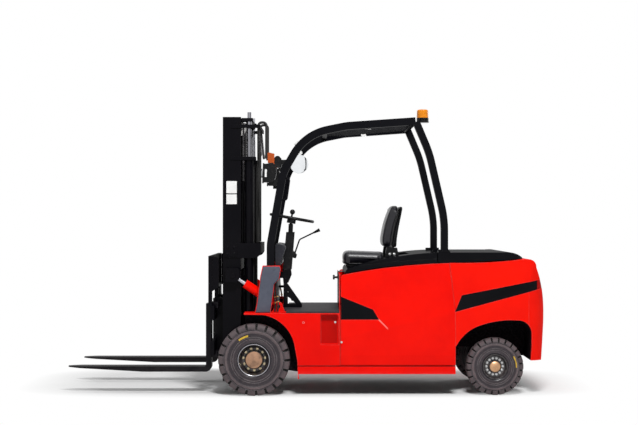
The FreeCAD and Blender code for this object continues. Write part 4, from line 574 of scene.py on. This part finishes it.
def lathe(name, profile, centre, side, segments=72):
    """A closed profile of (radius, outward distance) turned about the wheel axis; side is 1 or -1 for Y."""
    verts, faces = [], []
    count = len(profile)
    for n in range(segments):
        a = math.tau * n / segments
        for r, out in profile:
            verts.append(P(*polar(centre, r, a, centre[1] + side * out)))
    for n in range(segments):
        m = (n + 1) % segments
        for k in range(count):
            q = (k + 1) % count
            faces.append((n * count + k, n * count + q, m * count + q, m * count + k))
    return mesh_object(name, verts, faces, flip=side > 0)


# A pitch of the tread is sampled at these shares, close together at the grooves' walls
TREAD_SHARES = (0, 0.06, 0.105, 0.130, 0.20, 0.30, 0.370, 0.395, 0.44, 0.5, 0.56, 0.605, 0.630, 0.70, 0.80,
                0.870, 0.895, 0.94)
GROOVE_SHARE = 0.118
MIDDLE_RIB = 14


def groove_depth(share, out):
    """How deep the tread is cut at a share of the pitch: 0 on a lug and 1 in a groove."""
    middle = 0.5 if out > 0 else 0.0
    away = abs((share - middle + 0.5) % 1.0 - 0.5)
    return 1.0 if away < GROOVE_SHARE and abs(out) > MIDDLE_RIB else 0.0


# The side wall from the bead to the lugs: share of the wall's height, and distance in from the tyre's side
WALL = (
    (0.0, 16.0), (0.03, 10.5), (0.06, 7.0), (0.09, 5.5), (0.10, 1.6), (0.145, 0.6), (0.19, 1.8),
    (0.215, 3.6), (0.250, 3.8), (0.258, 0.8), (0.275, 0.8), (0.283, 3.4), (0.345, 3.0), (0.353, 0.4),
    (0.370, 0.4), (0.378, 2.6), (0.45, 1.6), (0.53, 1.8), (0.548, -1.2), (0.60, -1.8), (0.655, -1.2),
    (0.675, 3.8), (0.700, 4.2),
)


def tyre(name, centre, radius, rim_r, width, lugs, side, material):
    """A pneumatic tyre: bead, ribbed side wall, shoulder lugs that run down the side, and a middle rib."""
    half = width / 2
    deep = radius - rim_r
    # Radius, outward distance and how deep a groove is there
    tread = [
        (rim_r + deep * 0.715, half - 0.8, 0), (rim_r + deep * 0.735, half - 0.8, 6),
        (radius - 30, half - 1.6, 9), (radius - 20, half - 4, 11), (radius - 11, half - 9, 12),
        (radius - 4.5, half - 17, 12), (radius - 1, half - 27, 12), (radius, half - 38, 12),
        (radius, 30, 12), (radius, 16, 12), (radius, 13, 0), (radius, 0, 0),
    ]
    right = [(rim_r + deep * share, half - inward, 0) for share, inward in WALL] + tread
    profile = right + [(r, -out, d) for r, out, d in reversed(right[:-1])]
    verts, faces, dark = [], [], []
    count = len(profile)
    shares = [(n + share) / lugs for n in range(lugs) for share in TREAD_SHARES]
    for turn in shares:
        a = math.tau * turn
        share = (turn * lugs) % 1.0
        for r, out, groove in profile:
            cut = groove * groove_depth(share, out)
            across = out - math.copysign(cut, out) if r <= radius - 11 else out
            r -= cut if r > radius - 12 else 0.2 * cut
            verts.append(P(*polar(centre, r, a, centre[1] + side * across)))
    total = len(shares)
    for n in range(total):
        m = (n + 1) % total
        for k in range(count):
            q = (k + 1) % count
            faces.append((n * count + k, n * count + q, m * count + q, m * count + k))
            out, groove = profile[k][1:]
            dark.append(groove > 0 and groove_depth((shares[n] * lugs) % 1.0, out) > 0)
    obj = mesh_object(name, verts, faces, flip=side > 0)
    obj.data.materials.append(material)
    obj.data.materials.append(TYRE_DARK)
    # Faces in the grooves take the darker rubber: painted shade in the grooves
    for poly, is_dark in zip(obj.data.polygons, dark):
        poly.material_index = 1 if is_dark else 0
    return obj


def hex_heads(name, places, material, body):
    """Hexagon heads with a crown and a washer; each place is (point, outward normal, across flats)."""
    bm = bmesh.new()
    for at, normal, size in places:
        r, head = size / 1732.0, size * 0.00028
        # Sides, radius below and above, thickness and height of the washer, the head and its crown
        layers = [(20, r * 1.28, r * 1.28, 0.0014, 0.0), (6, r, r, head, 0.0008),
                  (6, r, r * 0.80, size * 0.00010, head + 0.0008)]
        for segments, r0, r1, thick, lift in layers:
            place = outward(at, normal) @ Matrix.Translation((0, 0, lift + thick / 2))
            bmesh.ops.create_cone(bm, cap_ends=True, segments=segments, radius1=r0, radius2=r1, depth=thick,
                                  matrix=place)
    return link_in(built_object(name, bm), body, material, 30)


def domes(name, places, material, body, flat):
    """Flattened domes such as lamp glasses; each place is (point, outward normal, radius)."""
    bm = bmesh.new()
    for at, normal, radius in places:
        base = outward(at, normal) @ Matrix.Diagonal((1, 1, flat, 1))
        made = bmesh.ops.create_uvsphere(bm, u_segments=32, v_segments=16, radius=radius / 1000,
                                         matrix=base)
        low = [v for v in made["verts"] if (base.inverted() @ v.co).z < -0.0001]
        bmesh.ops.delete(bm, geom=low, context="VERTS")
    return link_in(built_object(name, bm), body, material, 60)


def tube(name, points, radius, material, body, kind="BEZIER", closed=False, roundness=4):
    """A round tube through some points in millimetres, smooth or from corner to corner."""
    curve = bpy.data.curves.new(name, "CURVE")
    curve.dimensions = "3D"
    curve.bevel_depth = radius / 1000
    curve.bevel_resolution = roundness
    curve.resolution_u = 10
    curve.use_fill_caps = not closed
    spline = curve.splines.new(kind)
    if kind == "BEZIER":
        spline.bezier_points.add(len(points) - 1)
        for point, at in zip(spline.bezier_points, points):
            point.co = P(*at)
            point.handle_left_type = point.handle_right_type = "AUTO"
    else:
        spline.points.add(len(points) - 1)
        for point, at in zip(spline.points, points):
            point.co = (*P(*at), 1)
    spline.use_cyclic_u = closed
    obj = bpy.data.objects.new(name, curve)
    scene.collection.objects.link(obj)
    curve.materials.append(material)
    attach(obj, body)


def plate(name, corners, material, body, lift=0.6):
    """A thin sticker or badge over some corners in millimetres, listed anticlockwise from outside."""
    points = [P(*c) for c in corners]
    normal = (points[1] - points[0]).cross(points[2] - points[0]).normalized()
    count = len(points)
    verts = points + [p + normal * lift / 1000 for p in points]
    faces = [tuple(reversed(range(count))), tuple(range(count, 2 * count))]
    faces += [(k, (k + 1) % count, (k + 1) % count + count, k + count) for k in range(count)]
    return link_in(mesh_object(name, verts, faces), body, material)


def mirrored_plate(name, corners, side, material, body):
    """A plate listed anticlockwise as seen from the right, on either side."""
    return plate(name, corners[::-1] if side > 0 else corners, material, body)


def side_plate(name, outline, y0, y1, material, body):
    """A flat plate with an outline in X and Z, between two planes across Y, with broken edges."""
    bm = bmesh.new()
    rings = [[bm.verts.new(P(x, y, z)) for x, z in outline] for y in (y0, y1)]
    count = len(outline)
    bm.faces.new(rings[0])
    bm.faces.new(list(reversed(rings[1])))
    for k in range(count):
        q = (k + 1) % count
        bm.faces.new((rings[0][q], rings[0][k], rings[1][k], rings[1][q]))
    bmesh.ops.recalc_face_normals(bm, faces=bm.faces)
    bmesh.ops.bevel(bm, geom=list(bm.edges), offset=0.002, segments=2, affect="EDGES")
    return link_in(built_object(name, bm), body, material, 30)


def ring_of(centre, radius, count, start, y, size, side):
    """Places for hex_heads on a circle round a wheel's axle."""
    return [(polar(centre, radius, math.radians(360 * n / count + start), y), (0, side, 0), size)
            for n in range(count)]


def arc_strip(centre, outer, inner, start, step, y):
    """Corners of a curved strip on the left side of a tyre, from an angle down in even steps."""
    angles = [math.radians(start - step * n) for n in range(9)]
    ring = [polar(centre, outer, a, y) for a in angles]
    ring += [polar(centre, inner, a, y) for a in reversed(angles)]
    return ring[::-1]


# Wheels: tyre, dished rim, hub and nuts
for word, side in SIDES.items():
    front, rear = (0, side * FRONT_Y, FRONT_R), (REAR_AXLE_X, side * REAR_Y, REAR_R)
    body = "front_wheel_" + word
    half = FRONT_W / 2
    tyre_obj = tyre("tyre_front_" + word, front, FRONT_R, FRONT_RIM_R, FRONT_W, FRONT_LUGS, side,
                    TYRE_FRONT)
    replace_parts(link_in(tyre_obj, body, None, 32), "front_tyre_" + word)
    rim_profile = [
        (24.5, -half + 4), (96, -half + 4), (96, -9), (113, -9), (113, -half + 18), (122, -half + 10),
        (128, -half + 12), (127, -half + 20), (120, -20), (120, 20), (127, half - 20), (130, half - 10),
        (128, half - 5), (124, half - 4), (121, half - 8), (119, half - 22), (113, 22), (107, 12), (98, 7),
        (88, 5), (80, 5), (77, 8), (75, 18), (73.5, 22), (73, half - 34), (71, half - 28), (67, half - 25),
        (24.5, half - 25),
    ]
    rim = lathe("rim_front_" + word, rim_profile, front, side)
    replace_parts(link_in(rim, body, RIM, 28), "front_rim_" + word)
    lip_profile = [(119.5, half - 20), (123, half - 7.5), (127, half - 3.6), (131, half - 3.2),
                   (133.5, half - 6), (131.5, half - 9), (127.5, half - 9)]
    link_in(lathe("lip_front_" + word, lip_profile, front, side), body, LIP, 40)
    hub_profile = [(0.5, half - 27), (67, half - 27), (69, half - 24), (69, half - 20), (66, half - 17),
                   (50, half - 15), (30, half - 12), (14, half - 10), (0.5, half - 9.6)]
    link_in(lathe("hub_front_" + word, hub_profile, front, side, 64), body, HUB, 28)
    nuts = ring_of(front, 91, 11, 8, front[1] + side * 5.5, 15, side)
    hex_heads("nuts_front_" + word, nuts, NUT, body)
    if side > 0:
        strip = arc_strip(front, 211, 195, 77, 3, front[1] + half + 0.4)
        plate("patch_front_left", strip, PATCH, body, 0.8)

    body = "rear_wheel_" + word
    half = REAR_W / 2
    tyre_obj = tyre("tyre_rear_" + word, rear, REAR_R, REAR_RIM_R, REAR_W, REAR_LUGS, side, TYRE_REAR)
    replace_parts(link_in(tyre_obj, body, None, 32), "rear_tyre_" + word)
    rim_profile = [
        (24.5, 4), (91, 4), (91, -half + 16), (97, -half + 9), (102.5, -half + 11), (101.5, -half + 18),
        (96, -14), (96, 14), (101.5, half - 18), (104, half - 9), (102, half - 5), (98, half - 6),
        (95, half - 14), (90, 24), (84, 18), (70, 16), (54, 16), (52, 18), (50, half - 22),
        (46, half - 18), (24.5, half - 18),
    ]
    rim = lathe("rim_rear_" + word, rim_profile, rear, side)
    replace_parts(link_in(rim, body, RIM, 28), "rear_rim_" + word)
    cap_profile = [(0.5, half - 20), (45, half - 20), (45, half - 14), (43, half - 11), (38, half - 8),
                   (28, half - 4), (14, half - 1), (0.5, half)]
    link_in(lathe("hub_rear_" + word, cap_profile, rear, side, 56), body, CAP, 28)
    nuts = ring_of(rear, 67, 14, 0, rear[1] + side * 16, 14, side)
    hex_heads("nuts_rear_" + word, nuts, ZINC, body)
    if side > 0:
        strip = arc_strip(rear, 183, 167, 182, 4, rear[1] + half + 0.6)
        plate("patch_rear_left", strip, PATCH, body, 0.8)


# Lift chains as leaf links: two straight runs, and the arc between them, which rides on the inner mast
CHAIN_PITCH = 16.0
CHAIN_FRONT_END, CHAIN_REAR_END = 780, 1766
CHAIN_ARC_STEPS = 12


def chain_points(side):
    """The chain's centre line in three runs, each a list of (point in mm, direction)."""
    x, y, z = SHEAVE[0], side * SHEAVE[1], SHEAVE[2]
    up = (0, 0, 1)
    front = [((x + CHAIN_R, y, CHAIN_FRONT_END + n * CHAIN_PITCH), up)
             for n in range(int((z - CHAIN_FRONT_END) / CHAIN_PITCH) + 1)]
    arc = [((x + CHAIN_R * math.cos(a), y, z + CHAIN_R * math.sin(a)), (-math.sin(a), 0, math.cos(a)))
           for a in [math.pi * n / CHAIN_ARC_STEPS for n in range(1, CHAIN_ARC_STEPS)]]
    rear = [((x - CHAIN_R, y, z - n * CHAIN_PITCH), up)
            for n in range(int((z - CHAIN_REAR_END) / CHAIN_PITCH) + 1)]
    return front, arc, rear


def chain_run(name, points):
    """Leaf links in turn four and three wide, each with its pin, along a run of points."""
    bm = bmesh.new()
    lying = Matrix.Rotation(math.radians(90), 4, "X")
    across = Vector((0, 1, 0))
    for n, (at, along) in enumerate(points):
        along = Vector(along)
        axes = Matrix((along.cross(across), across, along)).transposed().to_4x4()
        base = Matrix.Translation(P(*at)) @ axes
        for offset in (-9.0, -3.0, 3.0, 9.0) if n % 2 else (-6.0, 0.0, 6.0):
            place = base @ Matrix.Translation((0, offset / 1000, 0))
            shape = place @ Matrix.Diagonal((1, 1, 1.75, 1)) @ lying
            bmesh.ops.create_cone(bm, cap_ends=True, segments=10, radius1=0.0072, radius2=0.0072,
                                  depth=0.0026, matrix=shape)
        pin = base @ Matrix.Translation((0, 0, 0.008)) @ lying
        bmesh.ops.create_cone(bm, cap_ends=True, segments=10, radius1=0.0032, radius2=0.0032,
                              depth=0.0235, matrix=pin)
    obj = built_object(name, bm)
    scene.collection.objects.link(obj)
    obj.data.materials.append(LINK)
    return obj


chains = []
for word, side in SIDES.items():
    front_run, arc_run, rear_run = chain_points(side)
    run = chain_run("chain_front_" + word, front_run)
    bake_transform(run)
    chains.append(run)
    arc = chain_run("chain_arc_" + word, arc_run)
    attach(arc, "mast_inner")
    chains.append(arc)
    run = chain_run("chain_rear_" + word, rear_run)
    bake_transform(run)
    chains.append(run)
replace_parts(chains[0], "lift_chains")

# Bolts on the body's sides, the mast and its tilt clevises
side_bolts = [(-405, 560, 600), (-664, 560, 604), (-716, 560.5, 440)]
hex_heads("bolts_body_left", [(at, (0, 1, 0), 12) for at in side_bolts], ZINC, "truck")
hex_heads("bolts_body_right", [((x, -y, z), (0, -1, 0), 12) for x, y, z in side_bolts], ZINC, "truck")
hex_heads("mast_bolts", [((x, side * 366, z), (0, side, 0), 18) for side in (1, -1)
                         for x, z in ((175, 1155), (230, 1155), (175, 1210), (230, 1210))],
          BLACK, "mast_outer")
hex_heads("tilt_pin_bolts", [((182, side * 412, 977), (0, side, 0), 26) for side in (1, -1)],
          ZINC, "mast_outer")

# Side gussets of the load backrest
for word, side in SIDES.items():
    gusset = [(347, 1138), (296, 1132), (292, 1096), (292, 884), (347, 856)]
    side_plate("backrest_gusset_" + word, gusset, side * 487, side * 499, MAST, "carriage")

# Blank stickers on the mast
for word, side in SIDES.items():
    y = side * MAST_Y
    for low, high in ((1570, 1652), (1660, 1762)):
        corners = [(154, y, low), (241, y, low), (241, y, high), (154, y, high)]
        sticker = mirrored_plate("mast_sticker_%s_%d" % (word, low), corners, side, STICKER, "mast_outer")


# Seat: crowned cushions with sewn channels and piping, and the shell behind the back
PAD_POINTS, PAD_STATIONS, WELT_POINTS = 96, 61, 72


def smooth_loop(path, count):
    """A closed path resampled to even steps along a curve through its corners."""
    dense = []
    total = len(path)
    for n in range(total):
        a, b, c, d = (Vector(path[(n + k) % total]) for k in (-1, 0, 1, 2))
        for step in range(12):
            u = step / 12
            dense.append(0.5 * (2 * b + (c - a) * u + (2 * a - 5 * b + 4 * c - d) * u ** 2
                                + (3 * b - a - 3 * c + d) * u ** 3))
    lengths = [(dense[(n + 1) % len(dense)] - dense[n]).length for n in range(len(dense))]
    step = sum(lengths) / count
    points, walked, n = [], 0.0, 0
    for k in range(count):
        while walked + lengths[n] < k * step:
            walked += lengths[n]
            n += 1
        u = (k * step - walked) / lengths[n]
        points.append(dense[n].lerp(dense[(n + 1) % len(dense)], u))
    return points


def loop_normals(points):
    """Outward normals of a closed path, whichever way it runs."""
    count = len(points)
    area = sum(points[n].x * points[(n + 1) % count].y - points[(n + 1) % count].x * points[n].y
               for n in range(count))
    turn = 1 if area > 0 else -1
    normals = []
    for n in range(count):
        along = (points[(n + 1) % count] - points[n - 1]).normalized()
        normals.append(Vector((along.y, -along.x)) * turn)
    return normals


def rounding(y, half, soft):
    """How far a pad's outline draws in at a distance from its middle."""
    over = max(0.0, (abs(y) - (half - soft)) / soft)
    return soft * (1 - math.sqrt(max(0.0, 1 - over ** 2)))


def pad(name, path, half, soft, channels, crown):
    """A stuffed pad: a side outline in X and Z, rounded towards both ends, with sewn channels."""
    points = smooth_loop(path, PAD_POINTS)
    normals = loop_normals(points)
    verts, faces = [], []
    count, last = PAD_POINTS, PAD_STATIONS - 1
    for station in range(PAD_STATIONS):
        y = half * math.sin(math.pi / 2 * (2 * station / last - 1))
        bulge = crown * math.cos(math.pi / 2 * y / half)
        seam = sum(deep * math.exp(-((abs(y) - at) / 4.5) ** 2) for at, deep in channels)
        for point, normal in zip(points, normals):
            worn = max(0.0, normal.x, normal.y)
            place = point + normal * (bulge * worn - rounding(y, half, soft) - seam * min(1.0, worn * 1.6))
            verts.append(P(place.x, y, place.y))
    for n in range(last):
        for k in range(count):
            q = (k + 1) % count
            faces.append((n * count + k, n * count + q, (n + 1) * count + q, (n + 1) * count + k))
    faces.append(tuple(range(count)))
    faces.append(tuple(reversed(range(last * count, PAD_STATIONS * count))))
    obj = mesh_object(name, verts, faces)
    bm = bmesh.new()
    bm.from_mesh(obj.data)
    bmesh.ops.recalc_face_normals(bm, faces=bm.faces)
    bm.to_mesh(obj.data)
    bm.free()
    return obj


def piping(name, path, half, soft, at):
    """The welt round a pad at both its sides."""
    points = smooth_loop(path, WELT_POINTS)
    ring = [p + n * (1.0 - rounding(at, half, soft)) for p, n in zip(points, loop_normals(points))]
    for word, side in SIDES.items():
        tube("%s_%s" % (name, word), [(p.x, side * at, p.y) for p in ring], 3.2, LEATHER, "hood_body",
             "POLY", True, 2)


CUSHION = [(-752, 1066), (-740, 1092), (-738, 1130), (-750, 1158), (-785, 1170), (-860, 1168),
           (-1000, 1163), (-1062, 1160), (-1074, 1148), (-1076, 1080), (-1068, 1064), (-900, 1063)]
BACK_PAD = [(-1112, 1208), (-1078, 1222), (-1068, 1262), (-1074, 1320), (-1096, 1420), (-1128, 1510),
            (-1146, 1546), (-1170, 1556), (-1196, 1546), (-1190, 1480), (-1164, 1380), (-1146, 1290),
            (-1136, 1222)]
BACK_SHELL = [(-1150, 1212), (-1160, 1290), (-1180, 1390), (-1206, 1490), (-1214, 1542), (-1228, 1550),
              (-1238, 1536), (-1226, 1470), (-1206, 1370), (-1192, 1280), (-1186, 1216), (-1168, 1208)]
cushion = link_in(pad("cushion", CUSHION, 236, 52, ((90, 5.0), (170, 6.0)), 4.0), "hood_body", LEATHER, 60)
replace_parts(cushion, "seat_cushion")
back = link_in(pad("back_pad", BACK_PAD, 222, 62, ((70, 5.0), (146, 6.0)), 4.0), "hood_body", LEATHER, 60)
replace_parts(back, "seat_back")
shell = link_in(pad("back_shell", BACK_SHELL, 205, 16, (), 0.0), "hood_body", BLACK_PLASTIC, 60)
piping("cushion_welt", CUSHION, 236, 52, 214)
piping("back_welt", BACK_PAD, 222, 62, 188)
hex_heads("seat_bolts", [((x, side * 241, 1150), (0, side, 0), 15) for side in (1, -1)
                         for x in (-1128, -1166)], ZINC, "hood_body")

# Hoses with brass fittings beside the left and right upright, and the spring guard on the mast
SPRING_TURNS, SPRING_STEPS = 22, 12
for word, side in SIDES.items():
    tube("hose_tilt_a_" + word, [(-168, side * 462, 684), (-172, side * 462, 740), (-160, side * 458, 860),
                                 (-172, side * 446, 1010)], 7, HOSE, "truck")
    tube("hose_tilt_b_" + word, [(-192, side * 484, 684), (-196, side * 484, 752), (-180, side * 474, 850),
                                 (-176, side * 460, 960)], 7, HOSE, "truck")
    fittings = [((-171, side * 462, 752), (0, 0, 1), 20), ((-195, side * 484, 764), (0, 0, 1), 20),
                ((-167, side * 461, 800), (0, 0, 1), 17), ((-189, side * 480, 806), (0, 0, 1), 17)]
    hex_heads("fittings_" + word, fittings, BRASS, "truck")
    coils = []
    for n in range(SPRING_TURNS * SPRING_STEPS + 1):
        a = math.tau * n / SPRING_STEPS
        share = n / (SPRING_TURNS * SPRING_STEPS)
        x = -22 - 22 * share + 11 * math.cos(a)
        coils.append((x, side * (262 + 11 * math.sin(a)), 2188 - 200 * share))
    tube("hose_spring_" + word, coils, 1.9, LINK, "mast_outer", "POLY")
    tube("hose_sprung_" + word, [(-22, side * 262, 2210), (-33, side * 262, 2088), (-44, side * 262, 1975)],
         7.5, HOSE, "mast_outer")

# Lamp glasses, pale patches on the lamps and blank strips inside the guard's legs
GUARD_INSIDE = 439.6
domes("lamp_glass", [((-62, side * 444, 1824), (1, 0, 0), 40) for side in (1, -1)], MIRROR, "truck", 0.25)
for word, side in SIDES.items():
    # These corners run anticlockwise as seen from the left, so the sides swap
    corners = [(x, side * 486, z) for x, z in ((-84, 1792), (-100, 1792), (-103, 1856), (-87, 1856))]
    mirrored_plate("lamp_mark_" + word, corners, -side, STICKER, "truck")

for word, side in SIDES.items():
    for name, strip in (("upper", [(-886, 2262), (-928, 2258), (-962, 2186), (-915, 2190)]),
                        ("lower", [(-322, 2066), (-352, 2092), (-386, 2040), (-356, 2012)])):
        corners = [(x, side * GUARD_INSIDE, z) for x, z in strip]
        mirrored_plate("guard_strip_%s_%s" % (name, word), corners, side, STICKER, "truck")

# Floor: white to the camera beyond the truck, and lit as it is under the truck, where the shadows lie


def outside_truck(tree, start, end):
    """0 over the truck and its shadows and 1 beyond them, over a rounded box drawn to the far side."""
    across = tree.math("POWER", tree.size(tree.math("DIVIDE", tree.axis("X"), 2.30)), 4.0)
    back = tree.math("DIVIDE", tree.plus(tree.axis("Y"), 0.35), 0.95)
    back = tree.math("POWER", tree.size(back), 4.0)
    return tree.fit(tree.math("POWER", tree.plus(across, back), 0.25), start, end)


def background_rays(tree):
    """1 for the rays that show the white background: the camera's, and those of gloss and glass."""
    path = tree.nodes.new("ShaderNodeLightPath")
    total = path.outputs["Is Camera Ray"]
    for kind in ("Is Glossy Ray", "Is Transmission Ray"):
        n = tree.nodes.new("ShaderNodeMath")
        n.operation = "MAXIMUM"
        tree.links.new(total, n.inputs[0])
        tree.links.new(path.outputs[kind], n.inputs[1])
        total = n.outputs[0]
    return total


floor_tree = Tree("studio_floor")
tint = floor_tree.fit(floor_tree.noise(1.5, 3.0, 0.5), 0.3, 0.7)
floor_tree.set(Base_Color=floor_tree.mix(tint, (0.90, 0.90, 0.90), (0.92, 0.92, 0.92)), Roughness=0.7,
               Specular_IOR_Level=0.1)
white = floor_tree.node("ShaderNodeEmission", Color=(1, 1, 1, 1), Strength=1.0)
white_share = floor_tree.times(background_rays(floor_tree.nt), outside_truck(floor_tree, 0.80, 1.08))
floor_mix = floor_tree.node("ShaderNodeMixShader", Fac=white_share)
floor_tree.put(floor_mix.inputs[1], floor_tree.bsdf.outputs["BSDF"])
floor_tree.put(floor_mix.inputs[2], white.outputs["Emission"])
floor_tree.put(floor_tree.out.inputs["Surface"], floor_mix.outputs["Shader"])
floor = mesh_object("floor", [(-30, -30, 0), (30, -30, 0), (30, 30, 0), (-30, 30, 0)], [(0, 1, 2, 3)])
floor.data.materials.append(floor_tree.mat)
scene.collection.objects.link(floor)

# World: white where it is seen, and a weak fill where it lights
world = bpy.data.worlds.new("studio")
scene.world = world
world.use_nodes = True
wn = world.node_tree
wn.nodes.clear()
seen, fill = (wn.nodes.new("ShaderNodeBackground") for _ in range(2))
for background, strength in ((seen, 1.0), (fill, 0.20)):
    background.inputs["Color"].default_value = (1, 1, 1, 1)
    background.inputs["Strength"].default_value = strength
world_mix = wn.nodes.new("ShaderNodeMixShader")
world_out = wn.nodes.new("ShaderNodeOutputWorld")
wn.links.new(background_rays(wn), world_mix.inputs[0])
wn.links.new(fill.outputs[0], world_mix.inputs[1])
wn.links.new(seen.outputs[0], world_mix.inputs[2])
wn.links.new(world_mix.outputs[0], world_out.inputs["Surface"])


def softbox(name, at, target, size, power):
    """A rectangular lamp that looks at a point; sizes in metres, power in watts."""
    light = bpy.data.lights.new(name, "AREA")
    light.shape = "RECTANGLE"
    light.size, light.size_y = size
    light.energy = power
    obj = bpy.data.objects.new(name, light)
    obj.location = at
    obj.rotation_euler = (Vector(target) - Vector(at)).to_track_quat("-Z", "Y").to_euler()
    scene.collection.objects.link(obj)


softbox("key", (-1.0, 5.8, 6.6), (-0.2, 0, 0.4), (1.5, 1.0), 555)
softbox("top", (0.5, 0.8, 7.0), (0.3, 0, 0), (5, 3), 90)
softbox("back", (-5.5, -4.0, 4.0), (0, 0, 1.0), (3, 3), 60)

# Camera: solved from the wheels and the guard in the photo, level but for a slight tilt up
FOCAL_PIXELS, FRAME_PIXELS, SENSOR = 1217, 638, 36.0
camera = bpy.data.cameras.new("camera")
camera.sensor_width = SENSOR
camera.lens = SENSOR * FOCAL_PIXELS / FRAME_PIXELS
camera.clip_end = 100
cam = bpy.data.objects.new("camera", camera)
cam.location = P(-531.7, 10500, 1433)
cam.rotation_euler = (math.radians(90 + 0.381), 0, math.radians(180))
scene.collection.objects.link(cam)
scene.camera = cam
scene.view_settings.view_transform = "Standard"
